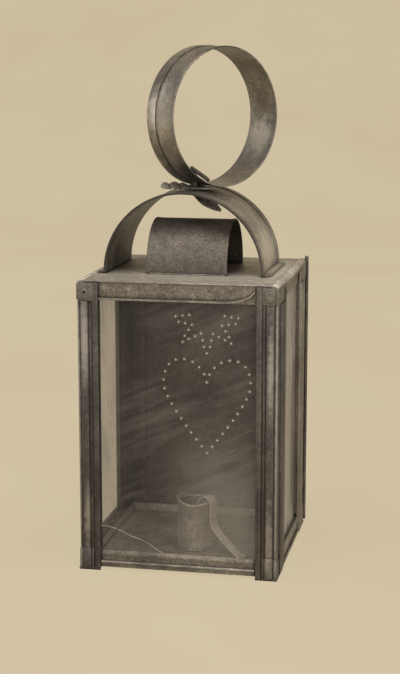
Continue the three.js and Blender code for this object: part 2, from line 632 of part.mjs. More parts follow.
function socket() {
  const radius = SOCKET_DIAMETER / 2;
  const bottom = FLOOR_TOP + SEAT;
  const top = bottom + SOCKET_HEIGHT;
  const tube = new THREE.Shape().absarc(SOCKET_X, SOCKET_Y, radius, 0, 2 * Math.PI);
  tube.holes.push(new THREE.Path().absarc(SOCKET_X, SOCKET_Y, radius - SHEET, 0, 2 * Math.PI));
  const scallop = (radius ** 2 + SOCKET_SCALLOP ** 2) / (2 * SOCKET_SCALLOP);
  return cut(prismOf(tube, "z", bottom, top, ARC_STEPS),
    disc(scallop, SOCKET_X, top + scallop - SOCKET_SCALLOP, "y",
      SOCKET_Y - SOCKET_DIAMETER, SOCKET_Y + SOCKET_DIAMETER, 4 * ARC_STEPS));
}
add(caseGroup, "candle_socket", socket(), tin("#77716a"));

// Brace: a strip hooked over the socket's rim, down its wall and out to the floor

function brace() {
  const wall = SOCKET_DIAMETER / 2;
  const floor = FLOOR_TOP + SEAT;
  const rim = FLOOR_TOP + SEAT + SOCKET_HEIGHT + SEAT;
  const sag = wall - Math.sqrt(wall ** 2 - (BRACE_WIDTH / 2) ** 2);
  const inside = wall - SHEET - SEAT - 2 * sag;
  const path = [
    [wall + BRACE_REACH + BRACE_FOOT, floor], [wall + BRACE_REACH, floor], [wall + SEAT, BRACE_KNEE],
    [wall + SEAT, rim], [inside, rim], [inside, rim - BRACE_HOOK],
  ];
  const strip = prism(folded(path, -SHEET), "y", -BRACE_WIDTH / 2, BRACE_WIDTH / 2);
  return strip.rotate([0, 0, BRACE_TURN]).translate([SOCKET_X, SOCKET_Y, 0]);
}
add(caseGroup, "socket_brace", brace(), tin("#9a948a"));

// Back door: the pierced panel, its hems and its rolled hinge edge

function heartHoles() {
  const half = new THREE.CurvePath();
  for (const curve of [HEART_LOBE, HEART_FLANK]) {
    half.add(new THREE.CubicBezierCurve(...curve.map(([x, z]) => new THREE.Vector2(x, HEART_TIP_Z + z))));
  }
  const points = half.getSpacedPoints(HEART_HOLES + 1).map((point) => [point.x, point.y]);
  return [...points, ...points.slice(1, -1).map(([x, z]) => [-x, z])];
}

function tulipHoles() {
  const right = TULIP_ROWS.flatMap(({ from, to, holes }) => Array.from({ length: holes }, (_, i) => {
    const share = i / (holes - 1);
    return [from[0] + (to[0] - from[0]) * share, TULIP_Z + from[1] + (to[1] - from[1]) * share];
  }));
  return [[0, TULIP_Z], ...right, ...right.map(([x, z]) => [-x, z])];
}

const KNUCKLES = [
  { name: "lower", from: KNUCKLE_INSET },
  { name: "upper", from: BODY_HEIGHT - KNUCKLE_INSET - KNUCKLE_LENGTH },
];

function hingeTube(from, to) {
  const shape = new THREE.Shape().absarc(HINGE_X, HINGE_Y, HINGE_TUBE / 2, 0, 2 * Math.PI);
  shape.holes.push(new THREE.Path().absarc(HINGE_X, HINGE_Y, HINGE_BORE / 2, 0, 2 * Math.PI));
  return prismOf(shape, "z", from, to, SMALL_ROUND);
}

function door() {
  const right = HINGE_X - HINGE_BORE / 2 - SEAM;
  const sheet = shapeOf([
    [DOOR_LEFT, DOOR_BOTTOM], [right, DOOR_BOTTOM], [right, DOOR_TOP], [DOOR_LEFT, DOOR_TOP],
  ]);
  for (const [x, z] of [...heartHoles(), ...tulipHoles()]) {
    sheet.holes.push(new THREE.Path().absarc(ORNAMENT_X + x, z, HOLE_DIAMETER / 2, 0, 2 * Math.PI));
  }
  const panel = prismOf(sheet, "y", PANEL_IN_Y, PANEL_OUT_Y, 4);
  const hemOut = PANEL_OUT_Y + SHEET;
  const hemRight = HINGE_X - HINGE_TUBE;
  const hems = [
    block(DOOR_LEFT, DOOR_LEFT + DOOR_HEM, PANEL_IN_Y, hemOut, DOOR_BOTTOM, DOOR_TOP),
    block(DOOR_LEFT, hemRight, PANEL_IN_Y, hemOut, DOOR_BOTTOM, DOOR_BOTTOM + DOOR_HEM),
    block(DOOR_LEFT, hemRight, PANEL_IN_Y, hemOut, DOOR_TOP - DOOR_HEM, DOOR_TOP),
  ];
  const gaps = KNUCKLES.map(({ from }) => ({ from: from - SEAT, to: from + KNUCKLE_LENGTH + SEAT }));
  const starts = [DOOR_BOTTOM, ...gaps.map((gap) => gap.to)];
  const ends = [...gaps.map((gap) => gap.from), DOOR_TOP];
  const tubes = starts.map((start, i) => hingeTube(start, ends[i]));
  const notches = gaps.map((gap) => block(HINGE_X - HINGE_TUBE, HINGE_X + HINGE_TUBE,
    PANEL_IN_Y - PAST, HINGE_Y + HINGE_TUBE, gap.from, gap.to));
  return join(cut(join(panel, ...hems), ...notches), ...tubes);
}
add(caseGroup, "door_panel", door(), tin("#4e4942"));

for (const { name, from } of KNUCKLES) {
  const to = from + KNUCKLE_LENGTH;
  const leafIn = BODY_DEPTH / 2 + SEAT;
  const web = SHEET / 2;
  const knuckle = join(
    hingeTube(from, to),
    block(HINGE_X - KNUCKLE_LEAF, HINGE_X + web, leafIn, leafIn + SHEET, from, to),
    block(HINGE_X - web, HINGE_X + web, leafIn, HINGE_Y - HINGE_BORE / 2 - SEAM, from, to),
  );
  add(caseGroup, `hinge_knuckle_${name}`, knuckle, tin("#5a554c"));
}

function hingeWire() {
  const radius = HINGE_TUBE / 2;
  const headBottom = DOOR_TOP + SEAT;
  const dome = arc(0, headBottom + HINGE_HEAD - radius, radius, 0, 90, 4);
  const footTop = DOOR_BOTTOM - SEAT;
  const profile = [
    [0, footTop - SHEET], [radius, footTop - SHEET], [radius, footTop], [HINGE_WIRE / 2, footTop],
    [HINGE_WIRE / 2, headBottom], [radius, headBottom], ...dome.slice(0, -1), [0, headBottom + HINGE_HEAD],
  ].map(([r, z]) => new THREE.Vector2(r, z));
  const turned = new THREE.LatheGeometry(profile, SMALL_ROUND);
  return solid(turned.rotateX(Math.PI / 2)).translate([HINGE_X, HINGE_Y, 0]);
}
add(caseGroup, "hinge_wire", hingeWire(), tin("#3f3b35"));

// Turn button on the rear left post, hanging clear of the door at rest

const LATCH_X = -BODY_WIDTH / 2 + LATCH_INSET;

function latchButton() {
  const half = LATCH_WIDTH / 2;
  const outline = new THREE.Shape();
  outline.absarc(LATCH_X, LATCH_Z, half, 0, Math.PI);
  outline.absarc(LATCH_X, LATCH_Z - LATCH_LENGTH + half, half * LATCH_TAPER, Math.PI, 2 * Math.PI);
  const bore = LATCH_PIVOT / 2 + LATCH_BORE_CLEARANCE;
  return cut(prismOf(outline, "y", LATCH_IN_Y, LATCH_IN_Y + SHEET, SMALL_ROUND),
    disc(bore, LATCH_X, LATCH_Z, "y", LATCH_IN_Y - PAST, LATCH_OUT_Y + PAST));
}
add(caseGroup, "latch_button", latchButton(), tin("#615b52"));

add(caseGroup, "latch_rivet", join(
  disc(LATCH_COLLAR / 2, LATCH_X, LATCH_Z, "y", BODY_DEPTH / 2 + SEAT, LATCH_IN_Y - SEAT),
  disc(LATCH_PIVOT / 2, LATCH_X, LATCH_Z, "y", BODY_DEPTH / 2 + SEAT, LATCH_OUT_Y),
  disc(LATCH_COLLAR / 2, LATCH_X, LATCH_Z, "y", LATCH_OUT_Y - SHEET, LATCH_OUT_Y),
), tin("#3f3b35"));

export default lantern;
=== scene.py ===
"""The looks of a tinplate hand lantern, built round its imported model.

+Z is up and the glazed front looks towards -Y. Sizes are written in millimetres and turned to
metres by MM where a mesh is made.
"""

import logging
import math
import random
from contextlib import contextmanager
from dataclasses import dataclass, replace
from enum import Enum
from functools import reduce
from typing import Callable, Iterable, Iterator, Sequence

import bmesh
import bpy
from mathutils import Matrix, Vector


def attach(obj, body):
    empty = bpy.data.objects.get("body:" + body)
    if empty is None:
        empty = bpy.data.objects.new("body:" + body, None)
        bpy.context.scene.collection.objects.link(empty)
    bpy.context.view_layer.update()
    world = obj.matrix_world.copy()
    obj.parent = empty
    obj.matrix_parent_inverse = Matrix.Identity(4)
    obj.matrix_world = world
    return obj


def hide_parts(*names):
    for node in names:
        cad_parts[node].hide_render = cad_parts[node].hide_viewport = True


log = logging.getLogger("lantern")
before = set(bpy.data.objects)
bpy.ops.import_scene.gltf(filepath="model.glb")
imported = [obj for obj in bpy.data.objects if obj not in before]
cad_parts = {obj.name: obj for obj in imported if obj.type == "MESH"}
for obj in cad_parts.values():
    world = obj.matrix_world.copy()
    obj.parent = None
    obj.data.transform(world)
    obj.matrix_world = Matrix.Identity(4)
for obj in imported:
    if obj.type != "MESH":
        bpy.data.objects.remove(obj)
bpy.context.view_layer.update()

MM = 0.001
DOUBLED = 0.004 * MM  # corners nearer than this are one
Point = Sequence[float]
Pair = tuple[float, float]
Colour = tuple[float, float, float, float]
Row = tuple[float, float, float, float]
Piece = bpy.types.Object
Material = bpy.types.Material
Socket = bpy.types.NodeSocket


class Body(Enum):
    """The rigid bodies that pieces ride on."""

    CASE = "lantern_body"
    DOOR = "back_door"
    RING = "carrying_ring"


class Slot(Enum):
    """The record's material slots."""

    DARK = "tinplate_dark"
    WORN = "tinplate_worn"
    BRIGHT = "tinplate_bright"
    GLASS = "window_glass"


class Side(Enum):
    """The four corners of the case, as signs along X and Y."""

    FRONT_LEFT = (-1, -1)
    FRONT_RIGHT = (1, -1)
    REAR_LEFT = (-1, 1)
    REAR_RIGHT = (1, 1)

    @property
    def suffix(self) -> str:
        """The ending of the corner's node names."""
        return self.name.lower()


# Materials


def linear(code: str) -> Colour:
    """Turn an sRGB hex colour into a linear one.

    Args:
        code: Six hex digits after a hash sign.

    Returns:
        Red, green, blue and an alpha of 1.
    """
    parts = [int(code[i:i + 2], 16) / 255 for i in (1, 3, 5)]
    return (*[p / 12.92 if p <= 0.04045 else ((p + 0.055) / 1.055) ** 2.4 for p in parts], 1.0)


def grey(level: float) -> Colour:
    """Give a grey as a linear colour."""
    return (level, level, level, 1.0)


@dataclass(frozen=True)
class Place:
    """A place picked out on a surface, for wear, painted highlights, painted shade and thicker films.

    Attributes:
        at: Its middle.
        reach: How far it reaches along X, Y and Z.
    """

    at: Point
    reach: Point


@dataclass(frozen=True)
class Creases:
    """Straight lines of painted shade along folds, alike on both sides of a middle.

    Attributes:
        axis: The axis across them.
        middle: What their distances are measured from.
        away: Their distances.
        width: Their width.
    """

    axis: str
    middle: float
    away: tuple[float, ...]
    width: float


class Graph:
    """A node tree that is written as formulas."""

    def __init__(self, tree: bpy.types.NodeTree) -> None:
        """Take a tree in hand.

        Args:
            tree: The tree of a material or of the world.
        """
        self.tree = tree

    def feed(self, node: bpy.types.Node, sockets: dict) -> None:
        """Set or link a node's inputs.

        Args:
            node: The node.
            sockets: Input name or number to a constant or to an output.
        """
        for name, value in sockets.items():
            if isinstance(value, Socket):
                self.tree.links.new(value, node.inputs[name])
            else:
                node.inputs[name].default_value = value

    def node(self, kind: str, output: str, sockets: dict | None = None, **settings) -> Socket:
        """Add a node with its settings and links.

        Args:
            kind: The node's type.
            output: Name of the output that is wanted.
            sockets: Input name or number to a constant or to an output.
            settings: Attributes of the node.

        Returns:
            That output.
        """
        node = self.tree.nodes.new(f"ShaderNode{kind}")
        for name, value in settings.items():
            setattr(node, name, value)
        self.feed(node, sockets or {})
        return node.outputs[output]


class Surface(Graph):
    """A material in the making, over the object's own coordinates."""

    def __init__(self, name: str) -> None:
        """Start the material.

        Args:
            name: Its name.
        """
        self.made = bpy.data.materials.new(name)
        self.made.use_nodes = True
        super().__init__(self.made.node_tree)
        self.place = self.node("TexCoord", "Object")

    def finish(self, sockets: dict) -> Material:
        """Feed the main shader and hand the material over."""
        self.feed(self.tree.nodes["Principled BSDF"], sockets)
        return self.made

    def math(self, operation: str, *values: Socket | float) -> Socket:
        """Calculate with one node."""
        return self.node("Math", "Value", dict(enumerate(values)), operation=operation)

    def largest(self, factors: Sequence[Socket]) -> Socket:
        """Take the largest of some factors."""
        return reduce(lambda one, other: self.math("MAXIMUM", one, other), factors)

    def noise(self, size: float, detail: float, roughness: float = 0.5, at: Socket | None = None) -> Socket:
        """Lay clouds over the object.

        Args:
            size: Their size in millimetres.
            detail: How many finer layers they have.
            roughness: How strong the finer layers are.
            at: Other coordinates than the object's.

        Returns:
            The clouds' factor.
        """
        return self.node("TexNoise", "Fac", {
            "Vector": self.place if at is None else at, "Scale": 1 / (size * MM), "Detail": detail,
            "Roughness": roughness,
        })

    def remap(self, value: Socket, start: float, end: float, low: float = 0.0, high: float = 1.0,
              **settings) -> Socket:
        """Stretch what runs from start to end so that it runs from low to high.

        Args:
            value: What is stretched.
            start: Where its range starts.
            end: Where its range ends.
            low: What the start becomes.
            high: What the end becomes.
            settings: Attributes of the node.

        Returns:
            The stretched value.
        """
        return self.node("MapRange", "Result", {
            "Value": value, "From Min": start, "From Max": end, "To Min": low, "To Max": high,
        }, **settings)

    def mix(self, factor: Socket | float, one: Socket, other: Socket | Colour, blend: str = "MIX") -> Socket:
        """Mix two colours."""
        return self.node("Mix", "Result", {"Factor": factor, "A": one, "B": other}, data_type="RGBA",
                         blend_type=blend)

    def ramp(self, factor: Socket, at: Pair, colours: tuple[Colour, Colour]) -> Socket:
        """Colour a factor from one colour to another.

        Args:
            factor: The factor.
            at: The values between which the colour changes.
            colours: The colours below and above them.

        Returns:
            The colour.
        """
        colour = self.node("ValToRGB", "Color", {"Fac": factor})
        for element, place, shade in zip(colour.node.color_ramp.elements, at, colours):
            element.position, element.color = place, shade
        return colour

    def bump(self, height: Socket, strength: float, depth: float, sockets: dict | None = None) -> Socket:
        """Raise the surface.

        Args:
            height: Its height as a factor.
            strength: How much of the height shows.
            depth: What a factor of 1 stands for, in millimetres.
            sockets: Further inputs.

        Returns:
            The normal.
        """
        return self.node("Bump", "Normal", {
            "Height": height, "Strength": strength, "Distance": depth * MM, **(sockets or {}),
        })

    def places(self, spots: Sequence[Place], ragged: Socket) -> Socket:
        """Mix places into one factor with frayed borders.

        Args:
            spots: The places.
            ragged: A noise that frays their borders.

        Returns:
            The factor, 1 inside the places.
        """
        fraying, clear_at, full_at = 1.6, 1.8, 0.9  # as shares of a place's reach
        factors = []
        for spot in spots:
            moved = self.node("VectorMath", "Vector", {0: self.place, 1: Vector(spot.at) * MM},
                              operation="SUBTRACT")
            scaled = self.node("VectorMath", "Vector", {0: moved, 1: Vector([1 / (r * MM) for r in spot.reach])},
                               operation="MULTIPLY")
            far = self.node("VectorMath", "Value", {0: scaled}, operation="LENGTH")
            frayed = self.math("MULTIPLY_ADD", ragged, fraying, far)
            factors.append(self.remap(frayed, clear_at, full_at, interpolation_type="SMOOTHSTEP"))
        return self.largest(factors)


@dataclass(frozen=True)
class AgedTin:
    """Hot-dipped tinplate gone grey with age: a dull, mottled patina with fine crystal grain, pale with wear along
    the edges.
    Painted shade darkens its hollows and folds, partly standing for grime, and its pale places are partly painted
    highlights.

    Attributes:
        name: The finish.
        dark: Colour of the deep patina.
        mid: Colour between the clouds.
        pale_wear_and_highlight: Colour of the pale edges and places: wear, and painted highlight on the places.
        grime_and_painted_shade: Colour of the painted shade that the mask lays on, which in the hollows also
            stands for grime.
        mottle: Size of the clouds in the patina.
        edge: How pale with wear the edges are, from 0 to 1.
        roughness: Roughness of the patina.
        painted_shading: Heights from where it is clear to where painted shade has darkened it most.
        places: Pale places, partly wear and partly painted highlight.
        smoke_and_painted_shade: Dark places of painted shade, partly smoke where they lie over the hood.
        creases: Lines of painted shade along folds.
        in_hollows, in_creases, on_places, in_painted_shading: How much of the patina the painted shade hides
        there.
        worn: How much of the patina gives way to the pale colour on those places.
        hollow: Width of the hollows that painted shade fills.
        open_sky: Share of open sky where the painted shade starts and where it is darkest.
        spot, crystal, dent: Size of the stains, of the grain and of the shallow dents.
        rounding: Radius that tells an edge.
        metal: How much of the metal shines through.
        polish: How much smoother it is on the pale edges and places.
    """

    name: str
    dark: str
    mid: str
    pale_wear_and_highlight: str
    grime_and_painted_shade: str = "#1c1815"
    mottle: float = 26.0
    edge: float = 0.5
    roughness: float = 0.6
    painted_shading: Pair | None = None
    places: tuple[Place, ...] = ()
    smoke_and_painted_shade: tuple[Place, ...] = ()
    creases: tuple[Creases, ...] = ()
    in_hollows: float = 0.88
    in_creases: float = 0.8
    on_places: float = 0.65
    in_painted_shading: float = 0.55
    worn: float = 0.65
    hollow: float = 2.4
    open_sky: Pair = (0.94, 0.55)
    spot: float = 4.5
    crystal: float = 0.9
    dent: float = 14.0
    rounding: float = 0.8
    metal: float = 0.5
    polish: float = 0.15

    def grime_and_painted_shade_mask(self, on: Surface, ragged: Socket) -> Socket:
        """Mix the painted shade in hollows, along folds, on dark places and towards a height into one factor.

        Args:
            on: The material in hand.
            ragged: A noise that frays the places' borders.

        Returns:
            The factor, 1 where the painted shade hides the patina.
        """
        # Painted shade in hollows and between parts, where little open sky is seen; in the hollows it also stands
        # for grime
        openness = on.node("AmbientOcclusion", "AO", {"Distance": self.hollow * MM}, samples=8)
        factors = [on.remap(openness, *self.open_sky, high=self.in_hollows)]
        axes = on.node("SeparateXYZ", "Z", {"Vector": on.place}).node.outputs
        # Lines of painted shade along the folds
        for fold in self.creases:
            away = on.math("ABSOLUTE", on.math("SUBTRACT", axes[fold.axis], fold.middle * MM))
            for distance in fold.away:
                line = on.math("COMPARE", away, distance * MM, fold.width / 2 * MM)
                factors.append(on.math("MULTIPLY", line, self.in_creases))
        # Painted shade on the dark places
        if self.smoke_and_painted_shade:
            factors.append(on.math("MULTIPLY", on.places(self.smoke_and_painted_shade, ragged), self.on_places))
        # Painted shade that deepens towards a height
        if self.painted_shading:
            clean, dulled = self.painted_shading
            factors.append(on.remap(axes["Z"], clean * MM, dulled * MM, high=self.in_painted_shading))
        return on.largest(factors)

    def material(self) -> Material:
        """Build the material.

        Returns:
            The material, with clouds, grain, pale edges and places, painted shade in its hollows and folds, and
            shallow dents.
        """
        on = Surface(self.name)
        clouds, spots = on.noise(self.mottle, 5.0, 0.6), on.noise(self.spot, 4.0, 0.65)
        # Tin crystals are about 0.3 mm here, and 0.9 mm is the least that shows
        grain = on.noise(self.crystal, 2.0, 0.6)
        patina = on.ramp(clouds, (0.34, 0.66), (linear(self.dark), linear(self.mid)))
        speckled = on.mix(1.0, patina, on.ramp(grain, (0.33, 0.67), (grey(0.55), grey(1.45))), "MULTIPLY")
        stained = on.mix(1.0, speckled, on.ramp(spots, (0.36, 0.62), (grey(0.78), grey(1.1))), "MULTIPLY")
        # Edges: where a rounded normal differs from the face's own
        rounded = on.node("Bevel", "Normal", {"Radius": self.rounding * MM}, samples=4)
        own = on.node("NewGeometry", "Normal")
        same = on.node("VectorMath", "Value", {0: rounded, 1: own}, operation="DOT_PRODUCT")
        bare_and_highlight = on.math("MULTIPLY", on.remap(same, 1.0, 0.82, high=self.edge), spots)
        # Pale places: painted highlights, partly wear
        if self.places:
            bare_and_highlight = on.math("MAXIMUM", bare_and_highlight, on.math("MULTIPLY", on.places(self.places, spots), self.worn))
        with_wear_and_highlights = on.mix(bare_and_highlight, stained, linear(self.pale_wear_and_highlight))
        pits, dents = on.bump(grain, 0.3, 0.1), on.noise(self.dent, 1.0)
        return on.finish({
            # The mask lays the painted shade over the patina
            "Base Color": on.mix(self.grime_and_painted_shade_mask(on, spots), with_wear_and_highlights, linear(self.grime_and_painted_shade)),
            "Roughness": on.remap(bare_and_highlight, 0.0, 1.0, self.roughness, self.roughness - self.polish),
            "Metallic": self.metal, "Normal": on.bump(dents, 0.5, 0.8, {"Normal": pits}),
        })


@dataclass(frozen=True)
class OldGlass:
    """Drawn window glass, 2 mm thick and lightly filmed with smoke and dust: clear enough to see through, with
    wiped diagonal streaks that catch the light.

    Attributes:
        name: The finish.
        dust: Colour of the film.
        clear: Alpha where the pane was wiped.
        filmed: Alpha where the film lies thick.
        tilt: Turn of the streaks about X and Y, in degrees.
        hazy: Where the film is thicker.
        haze: How much thicker, in alpha.
    """

    name: str
    dust: str
    clear: float
    filmed: float
    tilt: Pair = (0.0, 24.0)
    hazy: tuple[Place, ...] = ()
    haze: float = 0.2

    def material(self) -> Material:
        """Build the material.

        Returns:
            The material, see-through by its alpha.
        """
        on = Surface(self.name)
        tilted = on.node("Mapping", "Vector", {
            "Vector": on.place, "Rotation": (*[math.radians(turn) for turn in self.tilt], 0.0),
        })
        drawn = on.node("Mapping", "Vector", {"Vector": tilted, "Scale": (0.1, 0.1, 1.0)})
        streaks = on.noise(4.5, 5.0, 0.62, drawn)
        film = on.math("MULTIPLY", streaks, on.noise(50.0, 3.0))
        alpha = on.remap(film, 0.22, 0.46, self.clear, self.filmed)
        if self.hazy:
            alpha = on.math("ADD", alpha, on.math("MULTIPLY", on.places(self.hazy, streaks), self.haze))
        return on.finish({
            "Base Color": linear(self.dust), "Alpha": alpha, "IOR": 1.52,
            "Roughness": on.remap(film, 0.2, 0.46, 0.15, 0.6),
        })


@dataclass(frozen=True)
class CrackedGlass:
    """The broken edge of a crack in a pane: frosty, brighter and fainter along its run.

    Attributes:
        name: The finish.
        bright: Colour where the edge catches the light.
        faint: Colour where it doesn't.
    """

    name: str
    bright: str
    faint: str

    def material(self) -> Material:
        """Build the material.

        Returns:
            The material.
        """
        on = Surface(self.name)
        colour = on.ramp(on.noise(6.0, 2.0), (0.35, 0.65), (linear(self.faint), linear(self.bright)))
        return on.finish({"Base Color": colour, "Roughness": 0.3, "IOR": 1.52})


@dataclass(frozen=True)
class SoftSolder:
    """Soft solder laid on with an iron: a little paler than the tin, lumpy and dull.

    Attributes:
        name: The finish.
        skin: Colour of the skin.
        dull: Colour in the hollows.
    """

    name: str
    skin: str
    dull: str

    def material(self) -> Material:
        """Build the material.

        Returns:
            The material.
        """
        on = Surface(self.name)
        lumps = on.noise(2.2, 4.0)
        return on.finish({
            "Base Color": on.ramp(lumps, (0.35, 0.65), (linear(self.dull), linear(self.skin))),
            "Metallic": 0.5, "Roughness": 0.55, "Normal": on.bump(lumps, 0.5, 0.3),
        })


@dataclass(frozen=True)
class BuffCard:
    """A matt sweep of pale buff card. What looks straight at it sees it evenly lit, and it keeps the shadow.

    Attributes:
        name: The finish.
        light: Colour of the card.
        shade: Colour of its fibres.
        lift: How much of its colour it shows without a lamp.
        lit: How much of it the lamps show.
    """

    name: str
    light: str
    shade: str
    lift: float
    lit: float

    def material(self) -> Material:
        """Build the material.

        Returns:
            The material.
        """
        on = Surface(self.name)
        colour = on.ramp(on.noise(320.0, 4.0), (0.3, 0.7), (linear(self.shade), linear(self.light)))
        rays = ("Is Camera Ray", "Is Glossy Ray", "Is Transmission Ray")
        seen = on.largest([on.node("LightPath", ray) for ray in rays])
        return on.finish({
            "Base Color": on.mix(1.0, colour, grey(self.lit), "MULTIPLY"), "Roughness": 0.95,
            "Specular IOR Level": 0.05, "Emission Color": colour,
            "Emission Strength": on.math("MULTIPLY", seen, self.lift),
        })


class Finishes:
    """Every material of the lantern and its set, built once."""

    def __init__(self) -> None:
        """Build the materials."""
        # Posts: deep grey-brown patina; the pale places on the ribs are partly wear and partly painted highlight,
        # the pale lines down the front corner folds are painted highlights, and dark lines of painted shade run
        # along the ribs
        self.post = AgedTin("aged tinplate, posts", "#423c35", "#645d53", "#aaa294", edge=0.8, places=(
            # Pale places on the ribs: painted highlights, partly wear
            Place((-58.9, -67.0, 150.0), (4.5, 8.0, 40.0)), Place((-57.6, -67.0, 36.0), (3.6, 8.0, 30.0)),
            Place((58.6, -67.0, 26.0), (3.8, 8.0, 36.0)), Place((59.5, -67.0, 132.0), (3.2, 8.0, 40.0)),
            # Painted highlights down the front corner folds
            Place((-63.2, -65.3, 95.0), (2.4, 2.4, 190.0)), Place((63.2, -65.3, 95.0), (2.4, 2.4, 190.0)),
        ), creases=(
            # Dark lines of painted shade along the ribs
            Creases("X", 0.0, (53.9, 56.0, 61.7), 0.8), Creases("Y", -2.0, (52.8, 37.2), 0.9),
        )).material()
        # Rear posts, caps, shoes and hems: a paler copy of the posts' tinplate, painted light, with lighter
        # painted shade in their hollows
        self.rear = AgedTin("aged tinplate, rear posts", "#6b6356", "#8f8778", "#b3ab9c", "#5d564a").material()
        # Rails: paler than the posts
        self.rail = AgedTin("aged tinplate, rails", "#686155", "#978f80", "#b3ab9c", edge=0.8).material()
        # Lid: warmer, with painted light over its top face; the rolled edges below are paler again, partly polish
        # and partly a painted highlight along the shoulders
        self.lid = AgedTin("aged tinplate, lid", "#676054", "#918979", "#d6cdbb", edge=0.6, places=(
            # Painted light over the top face
            Place((20.0, -12.0, 188.6), (120.0, 110.0, 4.5)),
        )).material()
        # Rolled edges: partly polish, partly a painted highlight along the shoulders
        self.roll = AgedTin("bright tinplate, rolled edge", "#a0978a", "#c9c0ae", "#e6decd").material()
        # Hood: painted shade darkens it towards its foot
        self.hood = AgedTin("aged tinplate, smoked hood", "#645d52", "#8f8677", "#a59c8b", mottle=34.0,
                            edge=0.45, painted_shading=(217.0, 190.0)).material()
        # Caps and button: handled, so paler along their edges
        self.clip = AgedTin("aged tinplate, corner clips", "#575047", "#7e7669", "#b9b1a1", edge=0.9, places=(
            # These two places sit low on the front corners: painted highlights where the shoes stand
            Place((-58.9, -67.0, 9.5), (2.6, 8.0, 7.0)), Place((58.0, -67.0, 12.0), (2.8, 8.0, 6.0)),
        )).material()
        # Ring and strap: their pale places are painted highlights and their dark places painted shade, partly
        # smoke over the hood; lines of painted shade run along the strap's hems
        self.ring = AgedTin("aged tinplate, carrying ring", "#5d564b", "#8a8273", "#d3cab7", mottle=30.0,
                            edge=0.6, roughness=0.4, places=(
            # Painted highlights on the band's left and right
            Place((-20.0, -26.0, 289.0), (17.0, 20.0, 26.0)), Place((34.0, 42.0, 272.0), (17.0, 18.0, 20.0)),
        ), smoke_and_painted_shade=(
            # Painted shade low on the ring by the strap, and over its top
            Place((-4.0, -14.0, 251.0), (24.0, 26.0, 24.0)), Place((20.0, 0.0, 334.0), (40.0, 40.0, 16.0)),
        )).material()
        self.strap = AgedTin("aged tinplate, strap", "#645d51", "#928a79", "#d3cab7", mottle=20.0,
                             edge=0.7, roughness=0.48, places=(
            # A painted highlight down the right leg
            Place((47.0, 0.0, 203.0), (16.0, 52.0, 24.0)),
        ), smoke_and_painted_shade=(
            # Painted shade on the left leg's inner face and on the crown, partly smoke over the hood
            Place((-48.0, 2.0, 206.0), (30.0, 90.0, 54.0)), Place((-32.0, 2.0, 230.0), (26.0, 90.0, 26.0)),
            Place((8.0, -6.0, 242.0), (34.0, 46.0, 16.0)),
        # Lines of painted shade along the hems
        ), creases=(Creases("Y", 2.0, (34.9, 31.1, 26.0), 1.8),)).material()
        # Leaves: thin tin, paler than the strap that they lie on; on the leaf under the strap the paleness is
        # painted light against the strap's shadow
        self.leaf = AgedTin("aged tinplate, leaves", "#81796b", "#aaa293", "#aaa293", edge=0.2).material()
        # Door: dull and dark, with paler clouds; the darkness is partly smoke and partly painted shade for the
        # inside of the case
        self.door = AgedTin("aged tinplate, sooty door", "#4b443e", "#7b7266", "#968c7c", mottle=40.0,
                            edge=0.4, roughness=0.7).material()
        # Floor: pale tin, with paler clouds
        self.floor = AgedTin("aged tinplate, scraped floor", "#8d8577", "#b5ad9d", "#c9c1b0", edge=0.4).material()
        # Socket and brace: paler tin inside the case
        self.socket = AgedTin("aged tinplate, candle socket", "#9b9384", "#bfb7a6", "#dad1be", edge=0.9).material()
        self.brace = AgedTin("bright tinplate, brace", "#cdc5b3", "#e6decc", "#f0e9da", "#6a6255",
                             edge=0.9).material()
        # Iron: nearly black, and smooth from turning
        self.iron = AgedTin("blackened iron", "#1d1a17", "#38332d", "#6a6359").material()
        # Panes: the front one is wiped, and the side ones are filmed and streaked upright; the right one's pale,
        # nearly opaque film is painted light
        self.front_glass = OldGlass("old window glass, front pane", "#a89e8c", clear=0.05, filmed=0.15, hazy=(
            Place((42.0, -63.0, 42.0), (62.0, 8.0, 62.0)),
        )).material()
        self.left_glass = OldGlass("old window glass, left pane", "#8f8676", clear=0.3, filmed=0.55,
                                   tilt=(70.0, 0.0)).material()
        # The right pane's pale film is painted light
        self.right_glass = OldGlass("old window glass, smoked right pane", "#b5ab98", clear=0.6, filmed=0.9,
                                    tilt=(70.0, 0.0)).material()
        # Crack: a thin bright line in the front pane
        self.crack = CrackedGlass("cracked glass edge", "#cfc6b2", "#8f8675").material()
        # Solder: dull lumps along the seams
        self.solder = SoftSolder("soft solder", "#8b8375", "#5a534a").material()
        # Burrs: raw, torn tin, pale round each hole as a painted highlight
        self.burr = SoftSolder("torn tin, burrs", "#cdc5b3", "#9a917f").material()
        # Card: the pale warm ground that the lantern stands on
        self.card = BuffCard("buff card", "#dacaab", "#d5c4a4", lift=0.85, lit=0.08).material()


# Modelling by hand


def activate(*pieces: Piece) -> None:
    """Make some objects the only selected ones, and the first the active one.

    Args:
        pieces: The objects.
    """
    bpy.ops.object.select_all(action="DESELECT")
    for piece in pieces:
        piece.select_set(True)
    bpy.context.view_layer.objects.active = pieces[0]


def mark(piece: Piece, test: Callable[[Vector], bool], mode: str) -> None:
    """Select the parts of a mesh in edit mode whose middle passes a test.

    Args:
        piece: The object.
        test: Says of a middle, in millimetres, whether it is in.
        mode: VERT, EDGE or FACE.
    """
    bpy.ops.mesh.select_mode(type=mode)
    bpy.ops.mesh.select_all(action="DESELECT")
    mesh = bmesh.from_edit_mesh(piece.data)
    for part in {"VERT": mesh.verts, "EDGE": mesh.edges, "FACE": mesh.faces}[mode]:
        corners = [part.co] if mode == "VERT" else [v.co for v in part.verts]
        if test(sum(corners, Vector()) / len(corners) / MM):
            part.select_set(True)
    mesh.select_flush_mode()
    bmesh.update_edit_mesh(piece.data)


